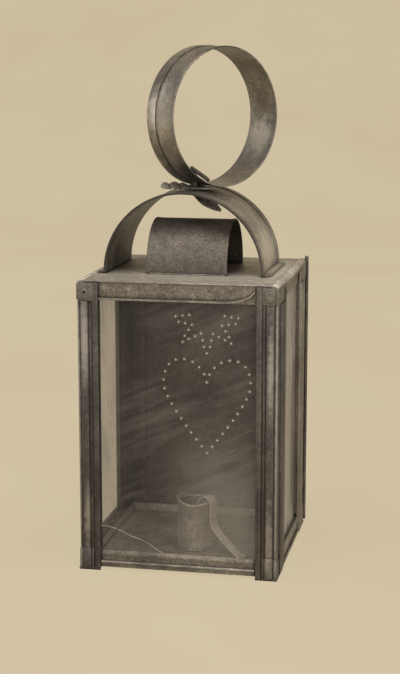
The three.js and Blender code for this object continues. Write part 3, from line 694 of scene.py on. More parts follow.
@contextmanager
def picked(piece: Piece, test: Callable[[Vector], bool] = lambda middle: True,
           mode: str = "VERT") -> Iterator[None]:
    """Stay in edit mode for a block, with the parts that pass a test selected.

    Args:
        piece: The object.
        test: Says of a part's middle, in millimetres, whether it is in.
        mode: VERT, EDGE or FACE.

    Yields:
        Nothing.
    """
    activate(piece)
    bpy.ops.object.mode_set(mode="EDIT")
    mark(piece, test, mode)
    yield
    bpy.ops.object.mode_set(mode="OBJECT")


def shift(x: float, y: float, z: float) -> None:
    """Move what is selected, in millimetres."""
    bpy.ops.transform.translate(value=(x * MM, y * MM, z * MM))


def extrude(x: float, y: float, z: float) -> None:
    """Extrude what is selected, in millimetres."""
    bpy.ops.mesh.extrude_region_move(TRANSFORM_OT_translate={"value": (x * MM, y * MM, z * MM)})


def scale(x: float, y: float, z: float, centre: Point) -> None:
    """Scale what is selected about a centre in millimetres."""
    bpy.ops.transform.resize(value=(x, y, z), center_override=[c * MM for c in centre])


def roll(degrees: float, centre: Point) -> None:
    """Roll what is selected about X through a centre in millimetres, its far edge up."""
    bpy.ops.transform.rotate(value=-math.radians(degrees), orient_axis="X",
                             center_override=[c * MM for c in centre])


def spin(steps: int, centre: Point, axis: Point) -> None:
    """Spin a whole mesh by half a turn about an axis through a centre in millimetres."""
    bpy.ops.mesh.select_all(action="SELECT")
    bpy.ops.mesh.spin(steps=steps, angle=math.pi, center=[c * MM for c in centre], axis=axis)


def put(piece: Piece, at: Point, turn: Point = (0.0, 0.0, 0.0)) -> None:
    """Set a piece's place, in millimetres, and its turn, in degrees."""
    piece.rotation_euler = [math.radians(angle) for angle in turn]
    piece.location = Vector(at) * MM


def aim(piece: Piece, at: Point, towards: Point) -> None:
    """Set a piece's place and point its Z axis somewhere.

    Args:
        piece: The object.
        at: Its place in millimetres.
        towards: The direction.
    """
    piece.rotation_mode = "QUATERNION"
    piece.rotation_quaternion = Vector((0, 0, 1)).rotation_difference(Vector(towards))
    piece.location = Vector(at) * MM


def merge(piece: Piece) -> None:
    """Merge a mesh's doubled corners and face it outwards.

    Args:
        piece: The object.
    """
    activate(piece)
    bpy.ops.object.mode_set(mode="EDIT")
    bpy.ops.mesh.select_all(action="SELECT")
    bpy.ops.mesh.remove_doubles(threshold=DOUBLED)
    bpy.ops.mesh.normals_make_consistent(inside=False)
    bpy.ops.object.mode_set(mode="OBJECT")


def blank(size: Point, centre: Point, upright: bool = False) -> Piece:
    """Lay a flat rectangle, from which a piece is bent.

    Args:
        size: Its width along X and Y.
        centre: Its middle.
        upright: Turns its X side along Z.

    Returns:
        The object, with its place in its mesh.
    """
    bpy.ops.mesh.primitive_plane_add(size=1.0, location=[c * MM for c in centre],
                                     rotation=(0, math.pi / 2 if upright else 0, 0))
    piece = bpy.context.active_object
    piece.scale = (size[0] * MM, size[1] * MM, 1.0)
    bpy.ops.object.transform_apply(location=True, rotation=True, scale=True)
    return piece


def cut(piece: Piece, at: Iterable[Point], across: Point, trim: bool = False) -> None:
    """Cut a mesh right through at some places.

    Args:
        piece: The object.
        at: A point of each cut.
        across: The direction that the cuts are square to.
        trim: Throws away what lies beyond the cut.
    """
    with picked(piece):
        for point in at:
            bpy.ops.mesh.select_all(action="SELECT")
            bpy.ops.mesh.bisect(plane_co=[c * MM for c in point], plane_no=across, use_fill=trim, clear_outer=trim)


def turned(profile: Sequence[Pair], steps: int, solid: bool = False) -> Piece:
    """Turn a profile about Z: a circle is extruded and resized from point to point.

    Args:
        profile: Radius and height of each point. It closes where it ends on its first point.
        steps: Sides of the circle.
        solid: Closes both ends of an open profile.

    Returns:
        The object.
    """
    radius, height = profile[0]
    bpy.ops.mesh.primitive_circle_add(vertices=steps, radius=radius * MM, fill_type="NGON" if solid else "NOTHING")
    piece = bpy.context.active_object
    with picked(piece):
        shift(0, 0, height)
        for (r0, z0), (r1, z1) in zip(profile, profile[1:]):
            extrude(0, 0, z1 - z0)
            scale(r1 / r0, r1 / r0, 1, (0, 0, z1))
    merge(piece)
    return piece


def slab(one: Point, other: Point) -> Piece:
    """Raise a block between two opposite corners.

    Args:
        one: One corner.
        other: The opposite one.

    Returns:
        The block.
    """
    low, high = zip(*[sorted(pair) for pair in zip(one, other)])
    piece = blank((high[0] - low[0], high[1] - low[1]), ((low[0] + high[0]) / 2, (low[1] + high[1]) / 2, low[2]))
    with picked(piece, mode="FACE"):
        extrude(0, 0, high[2] - low[2])
    merge(piece)
    return piece


def joined(pieces: Sequence[Piece]) -> Piece:
    """Join objects.

    Args:
        pieces: The objects.

    Returns:
        The first one, which holds them all.
    """
    activate(*pieces)
    bpy.ops.object.join()
    return pieces[0]


def ribbon(points: Sequence[Pair], width: float, depth: float, face: float) -> Piece:
    """Draw a thin strip over a front face, from point to point.

    Args:
        points: Its middle line along X and Z.
        width: Its width.
        depth: Its thickness.
        face: The face's place along Y.

    Returns:
        The object.
    """
    x, z = points[0]
    piece = blank((width, depth), (x, face - depth / 2, z), upright=True)
    with picked(piece, mode="FACE"):
        for (x0, z0), (x1, z1) in zip(points, points[1:]):
            extrude(x1 - x0, 0, z1 - z0)
    merge(piece)
    return piece


def bent_strip(rows: int, shape: Callable[[float], Row], thickness: float) -> Piece:
    """Bend a strip row by row.

    Args:
        rows: How many rows it is bent at.
        shape: Gives a row's X, its Z, half its width and its roll in degrees, from its share of the length.
        thickness: The sheet's thickness.

    Returns:
        The object.
    """
    below = -1000.0  # the flat strip lies here, out of the way of the rows that are in place
    lanes, unit, near = 8, 2, 0.3  # faces across it, its flat width, and what counts as in a row
    bpy.ops.mesh.primitive_grid_add(x_subdivisions=rows, y_subdivisions=lanes, size=1.0,
                                    location=(0, 0, below * MM))
    piece = bpy.context.active_object
    piece.scale = (rows * MM, unit * MM, 1.0)
    bpy.ops.object.transform_apply(location=True, scale=True)
    for row in range(rows + 1):
        start = row - rows / 2
        x, z, half, lean = shape(row / rows)
        with picked(piece, lambda p: p.z < below / 2 and abs(p.x - start) < near):
            scale(1, half, 1, (start, 0, below))
            roll(lean, (start, 0, below))
            shift(x - start, 0, z - below)
    apply_modifier(piece, "SOLIDIFY", thickness=thickness * MM, offset=0.0)
    merge(piece)
    soften(piece, 0.15, 50)
    return piece


def apply_modifier(piece: Piece, kind: str, **settings) -> None:
    """Add a modifier and apply it.

    Args:
        piece: The object.
        kind: The modifier's type.
        settings: Attributes of the modifier.
    """
    activate(piece)
    modifier = piece.modifiers.new(kind.lower(), kind)
    for name, value in settings.items():
        setattr(modifier, name, value)
    bpy.ops.object.modifier_apply(modifier=modifier.name)


def rounding_by(width: float, angle: float) -> dict:
    """Give a bevel's settings.

    Args:
        width: Width of the rounding.
        angle: Edges sharper than this many degrees are rounded.

    Returns:
        The settings.
    """
    return {"width": width * MM, "segments": 2, "limit_method": "ANGLE", "angle_limit": math.radians(angle),
            "use_clamp_overlap": True}


def soften(piece: Piece, width: float, angle: float = 35.0) -> None:
    """Round the edges of a piece that are sharper than an angle."""
    apply_modifier(piece, "BEVEL", **rounding_by(width, angle))


def settle(piece: Piece, name: str, body: Body, material: Material, replaces: Iterable[str] = (),
           smooth: float = 35.0) -> Piece:
    """Name a finished piece, put its place into its mesh, dress it and let it ride.

    Args:
        piece: The object.
        name: Its name.
        body: The body that carries it.
        material: Its material.
        replaces: Nodes that it stands for.
        smooth: Faces that meet at less than this many degrees are shaded as one.

    Returns:
        The piece.
    """
    activate(piece)
    bpy.ops.object.transform_apply(location=True, rotation=True, scale=True)
    bpy.ops.object.shade_smooth_by_angle(angle=math.radians(smooth))
    piece.name = name
    piece.data.materials.clear()
    piece.data.materials.append(material)
    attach(piece, body.value)
    if replaces:
        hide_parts(*replaces)
    return piece


def dress(name: str, material: Material, rounding: float = 0.18, smooth: float = 40.0) -> None:
    """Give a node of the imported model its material, rounded edges and smooth curves.

    Args:
        name: The node.
        material: Its material.
        rounding: Width of the rounding on its edges.
        smooth: Faces that meet at less than this many degrees are shaded as one.
    """
    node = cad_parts[name]
    node.data.materials.clear()
    node.data.materials.append(material)
    for face in node.data.polygons:
        face.use_smooth = True
        face.material_index = 0
    steps = {"WELD": {"merge_threshold": DOUBLED},
             "DECIMATE": {"decimate_type": "DISSOLVE", "angle_limit": math.radians(0.4)}}
    if rounding:
        steps["BEVEL"] = rounding_by(rounding, smooth)
    steps["EDGE_SPLIT"] = {"split_angle": math.radians(smooth)}
    for kind, settings in steps.items():
        modifier = node.modifiers.new(kind.lower(), kind)
        for key, value in settings.items():
            setattr(modifier, key, value)


def clamp(value: float) -> float:
    """Keep a share between 0 and 1."""
    return min(1.0, max(0.0, value))


@dataclass
class SolderBead:
    """A bead of solder along a seam of the case: a rod whose girth wanders.

    Attributes:
        start: One end.
        end: The other end.
        girth: Its mean radius.
        seed: Start of its wandering.
        step: Length from one girth to the next.
        wander: Least and greatest girth, as shares of the mean.
        tip: Girth of both ends, as a share of the mean.
        sides: Its facets.
    """

    start: Point
    end: Point
    girth: float
    seed: int
    step: float = 1.6
    wander: Pair = (0.75, 1.2)
    tip: float = 0.35
    sides: int = 10

    def build(self, name: str, finishes: Finishes) -> Piece:
        """Model the bead.

        Args:
            name: Its name.
            finishes: The lantern's materials.

        Returns:
            The bead.
        """
        chance = random.Random(self.seed)
        run = Vector(self.end) - Vector(self.start)
        steps = max(4, round(run.length / self.step))
        girths = [self.girth * chance.uniform(*self.wander) for _ in range(steps + 1)]
        girths[0] = girths[-1] = self.girth * self.tip
        piece = turned([(g, run.length * i / steps) for i, g in enumerate(girths)], self.sides, solid=True)
        aim(piece, self.start, run)
        return settle(piece, name, Body.CASE, finishes.solder, smooth=80.0)


# Sub-assemblies


@dataclass
class Assembly:
    """A sub-assembly of the lantern or of its set.

    Attributes:
        finishes: The materials.
    """

    finishes: Finishes

    def build(self) -> list[Piece]:
        """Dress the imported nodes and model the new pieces.

        Returns:
            The new pieces.
        """
        raise NotImplementedError


@dataclass(frozen=True)
class Strip:
    """A strip of tin laid on one leaf of a corner.

    Attributes:
        on_front: Whether it lies across the front or back leaf, else on the side leaf.
        near: Where it starts, from the corner; less than 0 is past it.
        far: Where it ends.
        out: How far it stands out.
        low: Its lower edge.
        high: Its upper edge.
    """

    on_front: bool
    near: float
    far: float
    out: float
    low: float
    high: float


@dataclass
class CornerFrame(Assembly):
    """The four posts with their caps and shoes, the rails and the stops that run between them.

    Attributes:
        corner: Half the case's width.
        middle: The case's middle, along Y.
        under: How far a strip starts inside the case's outer faces.
        cap_z: Lower and upper edge of the caps.
        cap_left: The raised strip on a left cap, from the corner.
        cap_right: The raised strip on a right cap, from the corner.
        cap_rib_out: How far that strip stands out at the front and at the back.
        cap_rib_top: How far it ends below the cap's upper edge.
        cap_tuck: How far the cap's plates end inside its edges.
        cap_front: Its front plate: from and to, from the corner, and how far it stands out.
        cap_side: Its side plate, the same way.
        shoe_top: Height of the shoes.
        shoe_flanges: A shoe's thin flanges on the ground.
        shoe_plates: Its plates and the rib down its side, with their upper edges from the shoe's top.
        shoe_rib: The rib down the front of a front shoe, the same way.
        side_leaf: Width of a post's side leaf.
        side_fold: Width of the fold along its edge.
        hem_x: That fold along X, from the pane to just under the leaf's skin.
        cap_face: The front caps' faces, along Y.
        pit_at: The punched pit on the left cap, along X and Z.
        pips_at: The two punched pips on the right cap, along X and Z.
        pit_rim, pit, pip: Radius and height above the cap of each punched mark.
        rail_front: The front rail's face, along Y.
        rail_end: Where it ends, from the corner.
        rail_side: The side rails' faces, along X.
        rail_under: How far their hems start inside those faces.
        rail_strips: How far each strip of a side rail stands out, and its lower and upper edge.
        side_run: The ends of a side rail between its posts, along Y.
        bead_z: Height of the bead along the front rail.
        bead_girth: Radius of the bead.
    """

    corner: float = 63.5
    middle: float = -2.0
    under: float = 0.3
    cap_z: Pair = (175.3, 186.9)
    cap_left: Pair = (0.9, 10.6)
    cap_right: Pair = (2.0, 7.3)
    cap_rib_out: Pair = (1.0, 0.7)
    cap_rib_top: float = 1.0
    cap_tuck: float = 0.6
    cap_front: Point = (-0.4, 10.0, 0.35)
    cap_side: Point = (-0.4, 24.0, 0.4)
    shoe_top: float = 15.0
    shoe_flanges: tuple[Strip, ...] = (
        Strip(True, -0.6, 13.4, 0.9, 0.0, 1.5), Strip(False, -0.6, 24.0, 0.8, 0.0, 1.5),
    )
    shoe_plates: tuple[Strip, ...] = (
        Strip(True, -0.3, 9.0, 0.35, 0.5, -0.6), Strip(False, -0.3, 24.0, 0.4, 0.5, -3.0),
        Strip(False, 11.0, 24.0, 1.1, 0.5, 0.0),
    )
    shoe_rib: Strip = Strip(True, 2.1, 7.1, 1.1, 0.5, 0.0)
    side_leaf: float = 30.0
    side_fold: float = 1.0
    hem_x: Pair = (61.35, 63.4)
    cap_face: float = -66.5
    pit_at: Pair = (-58.6, 180.6)
    pips_at: tuple[Pair, ...] = ((59.0, 184.2), (58.6, 178.9))
    pit_rim: tuple[Pair, ...] = ((2.0, -0.1), (1.8, 0.12), (1.4, 0.3), (1.1, 0.25), (1.0, 0.0), (0, 0))
    pit: tuple[Pair, ...] = ((1.05, -0.1), (1.0, 0.04), (0, 0.05))
    pip: tuple[Pair, ...] = ((1.8, -0.1), (1.7, 0.12), (1.3, 0.3), (0.9, 0.32), (0.7, 0.1), (0.4, 0.1), (0, 0.12))
    rail_front: float = -65.1
    rail_end: float = 13.9
    rail_side: float = 63.1
    rail_under: float = 0.2
    rail_strips: tuple[tuple[float, float, float], ...] = ((1.7, 2.0, 4.2), (0.5, 4.0, 12.9), (1.3, 10.6, 13.2))
    side_run: Pair = (-35.2, 31.2)
    bead_z: float = 5.6
    bead_girth: float = 1.1

    def wrap(self, side: Side, strips: Iterable[Strip], rounding: float) -> Piece:
        """Lay strips on a corner and join them.

        Args:
            side: Which corner.
            strips: The strips.
            rounding: Width of the rounding on their edges.

        Returns:
            The joined strips.
        """
        x, y = side.value
        slabs = []
        for strip in strips:
            along = self.corner - strip.near, self.corner - strip.far
            proud = self.corner - self.under, self.corner + strip.out
            xs, ys = (along, proud) if strip.on_front else (proud, along)
            ends = zip(xs, ys, (strip.low, strip.high))
            slabs.append(slab(*[(x * a, self.middle + y * b, c) for a, b, c in ends]))
        piece = joined(slabs)
        soften(piece, rounding)
        return piece

    def cap(self, side: Side) -> Piece:
        """Fold a cap over the top of a post: a plate on the front, bent round to the side.

        Args:
            side: Which corner.

        Returns:
            The cap.
        """
        low, high = self.cap_z
        x, y = side.value
        front, back = self.cap_rib_out
        rib = Strip(True, *(self.cap_left if x < 0 else self.cap_right), front if y < 0 else back, low,
                    high - self.cap_rib_top)
        edges = low + self.cap_tuck, high - self.cap_tuck
        plates = [Strip(True, *self.cap_front, *edges), Strip(False, *self.cap_side, *edges)]
        # The rear caps take the paler rear finish: painted light
        material = self.finishes.clip if y < 0 else self.finishes.rear
        return settle(self.wrap(side, [*plates, rib], 0.25), f"cap_plate_{side.suffix}", Body.CASE, material,
                      replaces=[f"corner_cap_{side.suffix}"])

    def shoe(self, side: Side, material: Material) -> Piece:
        """Fold a shoe round the foot of a post: the ribs run down over it to a thin flange on the ground.

        Args:
            side: Which corner.
            material: The post's material.

        Returns:
            The shoe.
        """
        ribs = [self.shoe_rib] if side.value[1] < 0 else []
        upright = [replace(strip, high=self.shoe_top + strip.high) for strip in (*self.shoe_plates, *ribs)]
        return settle(self.wrap(side, [*self.shoe_flanges, *upright], 0.3), f"shoe_plate_{side.suffix}",
                      Body.CASE, material, replaces=[f"corner_shoe_{side.suffix}"])

    def hem(self, side: Side, material: Material) -> Piece:
        """Fold the edge of a post's side leaf in against the pane.

        Args:
            side: Which corner.
            material: The post's material.

        Returns:
            The fold.
        """
        x, y = side.value
        edge = self.corner - self.side_leaf
        ys = (self.middle + y * (edge + self.side_fold), self.middle + y * edge)
        piece = slab(*zip((x * v for v in self.hem_x), ys, (self.shoe_top, self.cap_z[0])))
        soften(piece, 0.25)
        return settle(piece, f"post_hem_{side.suffix}", Body.CASE, material)

    def punched(self, name: str, at: Pair, profile: Sequence[Pair], material: Material) -> Piece:
        """Model a punched mark on a front cap.

        Args:
            name: Its name.
            at: Its middle along X and Z.
            profile: Radius and height above the cap.
            material: Its material.

        Returns:
            The mark.
        """
        piece = turned(profile, 20, solid=True)
        put(piece, (at[0], self.cap_face, at[1]), (90, 0, 0))
        return settle(piece, name, Body.CASE, material, smooth=60.0)

    def rail_beads(self) -> list[Piece]:
        """Roll the bead along the front rail, and fold the hems of the side rails.

        Returns:
            The bead and the hems.
        """
        half = self.corner - self.rail_end
        piece = turned([(self.bead_girth, 0), (self.bead_girth, 2 * half)], 16, solid=True)
        put(piece, (-half, self.rail_front, self.bead_z), (0, 90, 0))
        pieces = [settle(piece, "rail_bead_front", Body.CASE, self.finishes.rail)]
        near, far = self.side_run
        for name, sign in (("left", -1), ("right", 1)):
            piece = joined([
                slab((sign * (self.rail_side - self.rail_under), near, low),
                     (sign * (self.rail_side + out), far, high))
                for out, low, high in self.rail_strips
            ])
            soften(piece, 0.3)
            pieces.append(settle(piece, f"rail_hem_{name}", Body.CASE, self.finishes.rail))
        return pieces

    def build(self) -> list[Piece]:
        """Dress the frame and add its plates, punched marks and beads.

        Returns:
            The new pieces.
        """
        tin = self.finishes
        pieces = []
        for side in Side:
            # The rear posts, shoes and hems take the paler rear finish: painted light
            post = tin.rear if side.value[1] > 0 else tin.post
            dress(f"corner_post_{side.suffix}", post)
            dress(f"glass_stop_{side.suffix}", tin.post)
            pieces += [self.cap(side), self.shoe(side, post), self.hem(side, post)]
        for side, rail in {"front": tin.rail, "right": tin.rail, "left": tin.post, "back": tin.door}.items():
            dress(f"bottom_rail_{side}", rail)
        # The pit is a disc in the black iron finish: painted shade standing for the depth of the punched hole
        pieces += [self.punched("cap_pit_rim", self.pit_at, self.pit_rim, tin.clip),
                   self.punched("cap_pit", self.pit_at, self.pit, tin.iron)]
        for number, at in enumerate(self.pips_at, 1):
            pieces.append(self.punched(f"cap_pip_{number}", at, self.pip, tin.clip))
        return pieces + self.rail_beads()


@dataclass
class Glazing(Assembly):
    """The three panes and the crack in the front one.

    Attributes:
        face: The front pane's outer face, along Y.
        crack: The crack's points along X and Z.
        width: Width of its bright edge.
        depth: How far the edge stands out.
    """

    face: float = -63.3
    crack: tuple[Pair, ...] = (
        (-53.7, 30.0), (-50.5, 29.3), (-45.0, 28.7), (-40.4, 27.6), (-36.0, 25.9), (-31.0, 23.4), (-26.0, 21.9),
        (-20.9, 20.1), (-16.5, 17.2), (-13.0, 14.7), (-9.0, 13.1), (-5.8, 10.8),
    )
    width: float = 0.34
    depth: float = 0.06

    def build(self) -> list[Piece]:
        """Dress the panes and draw the crack.

        Returns:
            The crack.
        """
        tin = self.finishes
        for side, glass in {"front": tin.front_glass, "left": tin.left_glass, "right": tin.right_glass}.items():
            dress(f"glass_{side}", glass, rounding=0)
        piece = ribbon(self.crack, self.width, self.depth, self.face)
        return [settle(piece, "front_pane_crack", Body.CASE, self.finishes.crack)]


@dataclass
class Roof(Assembly):
    """The lid with the smoke hood soldered on it.

    Attributes:
        hood_x: The hood's two ends.
        radius: The hood's outer radius.
        axis_z: Height of its axis.
        foot_z: Height of its feet.
        sheet: Thickness of the tinplate.
        hem: Width of the folded hem at each end.
        hem_rise: How far the hem stands out.
        hem_slope: Width of the bend up to it.
        fascia: The lid's front face, along Y.
        fascia_hem: The middle line of its lower hem, bent up at the right end, along X and Z.
        fascia_hem_size: The hem's width, and how far it stands out.
        roll_at: The axis of the rolled side edges, along X and Z.
        roll_run: Their ends along Y.
        roll_girth: Their radius.
        roll_tip: Length of their rounded ends.
        roll_end: Radius of those ends, as a share.
        seam: How far the solder lies from the hood's skin.
        bead_girth: Radius of the solder.
        bead_inset: How far it ends inside the hood's ends.
    """

    hood_x: Pair = (-27.15, 25.15)
    radius: float = 30.5
    axis_z: float = 190.5
    foot_z: float = 188.3
    sheet: float = 0.8
    hem: float = 1.7
    hem_rise: float = 0.25
    hem_slope: float = 0.2
    fascia: float = -65.5
    fascia_hem: tuple[Pair, ...] = (
        (-52.5, 176.7), (-20.0, 176.6), (10.0, 176.7), (30.0, 176.6), (37.0, 177.2), (42.0, 178.6), (46.0, 180.6),
        (49.0, 183.4),
    )
    fascia_hem_size: Pair = (1.3, 0.45)
    roll_at: Pair = (61.0, 186.0)
    roll_run: Pair = (-65.3, 61.2)
    roll_girth: float = 2.7
    roll_tip: float = 0.6
    roll_end: float = 0.8
    seam: float = 0.1
    bead_girth: float = 0.55
    bead_inset: float = 1.0

    def hood(self) -> Piece:
        """Bend the hood: its hemmed section is spun over the top and its feet drawn down.

        Returns:
            The hood.
        """
        x0, x1 = self.hood_x
        left, right = x0 + self.hem, x1 - self.hem
        skin = -self.radius + self.sheet / 2
        piece = blank((x1 - x0, self.sheet), ((x0 + x1) / 2, skin, self.axis_z))
        cut(piece, [(x, 0, 0) for x in (left, left + self.hem_slope, right - self.hem_slope, right)], (1, 0, 0))
        with picked(piece, lambda p: p.y < skin and not left + 0.05 <= p.x <= right - 0.05):
            shift(0, -self.hem_rise, 0)
            spin(64, (0, 0, self.axis_z), (1, 0, 0))
        with picked(piece, lambda p: p.z < self.axis_z + 0.01, "FACE"):
            extrude(0, 0, self.foot_z - self.axis_z)
        merge(piece)
        soften(piece, 0.12)
        return settle(piece, "smoke_hood_sheet", Body.CASE, self.finishes.hood,
                      replaces=["smoke_hood"])

    def build(self) -> list[Piece]:
        """Dress the lid, bend the hood, and add hem, rolls and solder.

        Returns:
            The new pieces.
        """
        dress("lid", self.finishes.lid, rounding=0.25)
        x0, x1 = self.hood_x
        hem = ribbon(self.fascia_hem, *self.fascia_hem_size, self.fascia)
        pieces = [self.hood(), settle(hem, "fascia_hem", Body.CASE, self.finishes.lid)]
        girth, tip, length = self.roll_girth, self.roll_tip, self.roll_run[1] - self.roll_run[0]
        for side, sign in (("left", -1), ("right", 1)):
            end = girth * self.roll_end
            piece = turned([(end, 0), (girth, tip), (girth, length - tip), (end, length)], 28, solid=True)
            put(piece, (sign * self.roll_at[0], self.roll_run[0], self.roll_at[1]), (-90, 0, 0))
            pieces.append(settle(piece, f"lid_roll_{side}", Body.CASE, self.finishes.roll, smooth=60.0))
        for side, y in (("front", -self.radius - self.seam), ("back", self.radius + self.seam)):
            bead = SolderBead((x0 + self.bead_inset, y, self.foot_z), (x1 - self.bead_inset, y, self.foot_z),
                              self.bead_girth, len(side))
            pieces.append(bead.build(f"hood_solder_{side}", self.finishes))
        return pieces


@dataclass
class StrapHandle(Assembly):
    """The arched strap over the hood, hemmed along both edges, with clipped feet.

    Attributes:
        middle: The arch's axis, along X and Y.
        width: The strap's width.
        radius: The arch's outer radius.
        spring_z: Height where the arch springs from its feet.
        top_z: Height of the crown.
        foot_z: Underside of the feet.
        sheet: Thickness of the tinplate.
        hem: Width of each hem.
        hem_rise: How far a hem stands out.
        fold_groove: One side, the bottom and the other side of the groove inside the fold, from the edge.
        foot_groove: The same of the groove along the hem's foot, from the hem's inner edge.
        groove_depth: Depth of both grooves.
        foot: Length of each foot.
        clip: Size of the clipped corners.
        pivot: The shank's hole, along X and Y.
        pivot_radius: Its radius.
        seam: How far the solder lies from a foot's end.
        bead_girth: Radius of the solder.
    """

    middle: Pair = (-3.0, 2.0)
    width: float = 70.0
    radius: float = 51.2
    spring_z: float = 189.1
    top_z: float = 240.1
    foot_z: float = 188.3
    sheet: float = 0.8
    hem: float = 8.6
    hem_rise: float = 0.6
    fold_groove: Point = (3.4, 3.9, 4.4)
    foot_groove: Point = (-0.2, 0.3, 1.0)
    groove_depth: float = 0.5
    foot: float = 4.5
    clip: float = 3.0
    pivot: Pair = (-0.8, -4.4)
    pivot_radius: float = 2.7
    seam: float = 0.1
    bead_girth: float = 0.6

    def arch(self) -> Piece:
        """Bend the arch: its hemmed section is spun over the hood.

        Returns:
            The arch, standing on two cut ends.
        """
        cx, cy = self.middle
        half = self.width / 2
        skin = cx - self.radius + self.sheet / 2
        piece = blank((self.sheet, self.width), (skin, cy, self.spring_z))
        grooves = [self.fold_groove, [self.hem + line for line in self.foot_groove]]
        lines = [line for groove in grooves for line in groove]
        cut(piece, [(0, cy + side * (half - line), 0) for side in (-1, 1) for line in lines], (0, 1, 0))
        with picked(piece, lambda p: p.x < skin and abs(p.y - cy) > half - self.hem + 0.1):
            shift(-self.hem_rise, 0, 0)
        bottoms = [bottom for _, bottom, _ in grooves]
        with picked(piece, lambda p: p.x < skin and min(abs(half - abs(p.y - cy) - b) for b in bottoms) < 0.05):
            shift(self.groove_depth, 0, 0)
            spin(96, (cx, cy, self.spring_z), (0, -1, 0))
            bpy.ops.mesh.select_all(action="SELECT")
            scale(1, 1, (self.top_z - self.spring_z) / self.radius, (cx, cy, self.spring_z))
        return piece

    def build(self) -> list[Piece]:
        """Bend the strap, turn out its feet, punch its hole and solder it down.

        Returns:
            The strap and its solder.
        """
        cx, cy = self.middle
        half, toe = self.width / 2, self.radius + self.foot
        piece = self.arch()
        with picked(piece, lambda p: p.z < self.spring_z + 0.01, "FACE"):
            extrude(0, 0, self.foot_z - self.spring_z)
        for side in (-1, 1):
            with picked(piece, lambda p: self.foot_z + 0.1 < p.z < self.spring_z - 0.1
                        and side * (p.x - cx) > self.radius - 0.02, "FACE"):
                extrude(side * self.foot, 0, 0)
                scale(0, 1, 1, (cx + side * toe, 0, 0))
        merge(piece)
        for x in (-1, 1):
            for y in (-1, 1):
                cut(piece, [(cx + x * (toe - self.clip), cy + y * half, 0)], (x, y, 0), trim=True)
        bpy.ops.mesh.primitive_cylinder_add(vertices=32, radius=self.pivot_radius * MM, depth=8 * MM,
                                            location=Vector((*self.pivot, self.top_z)) * MM)
        punch = bpy.context.active_object
        apply_modifier(piece, "BOOLEAN", object=punch, operation="DIFFERENCE", solver="EXACT")
        bpy.data.objects.remove(punch)
        soften(piece, 0.12)
        pieces = [settle(piece, "strap_handle_sheet", Body.CASE, self.finishes.strap,
                         replaces=["strap_handle"])]
        inset = half - self.clip
        for side, x in (("left", cx - toe - self.seam), ("right", cx + toe + self.seam)):
            bead = SolderBead((x, cy - inset, self.foot_z), (x, cy + inset, self.foot_z), self.bead_girth,
                              len(side))
            pieces.append(bead.build(f"strap_solder_{side}", self.finishes))
        return pieces


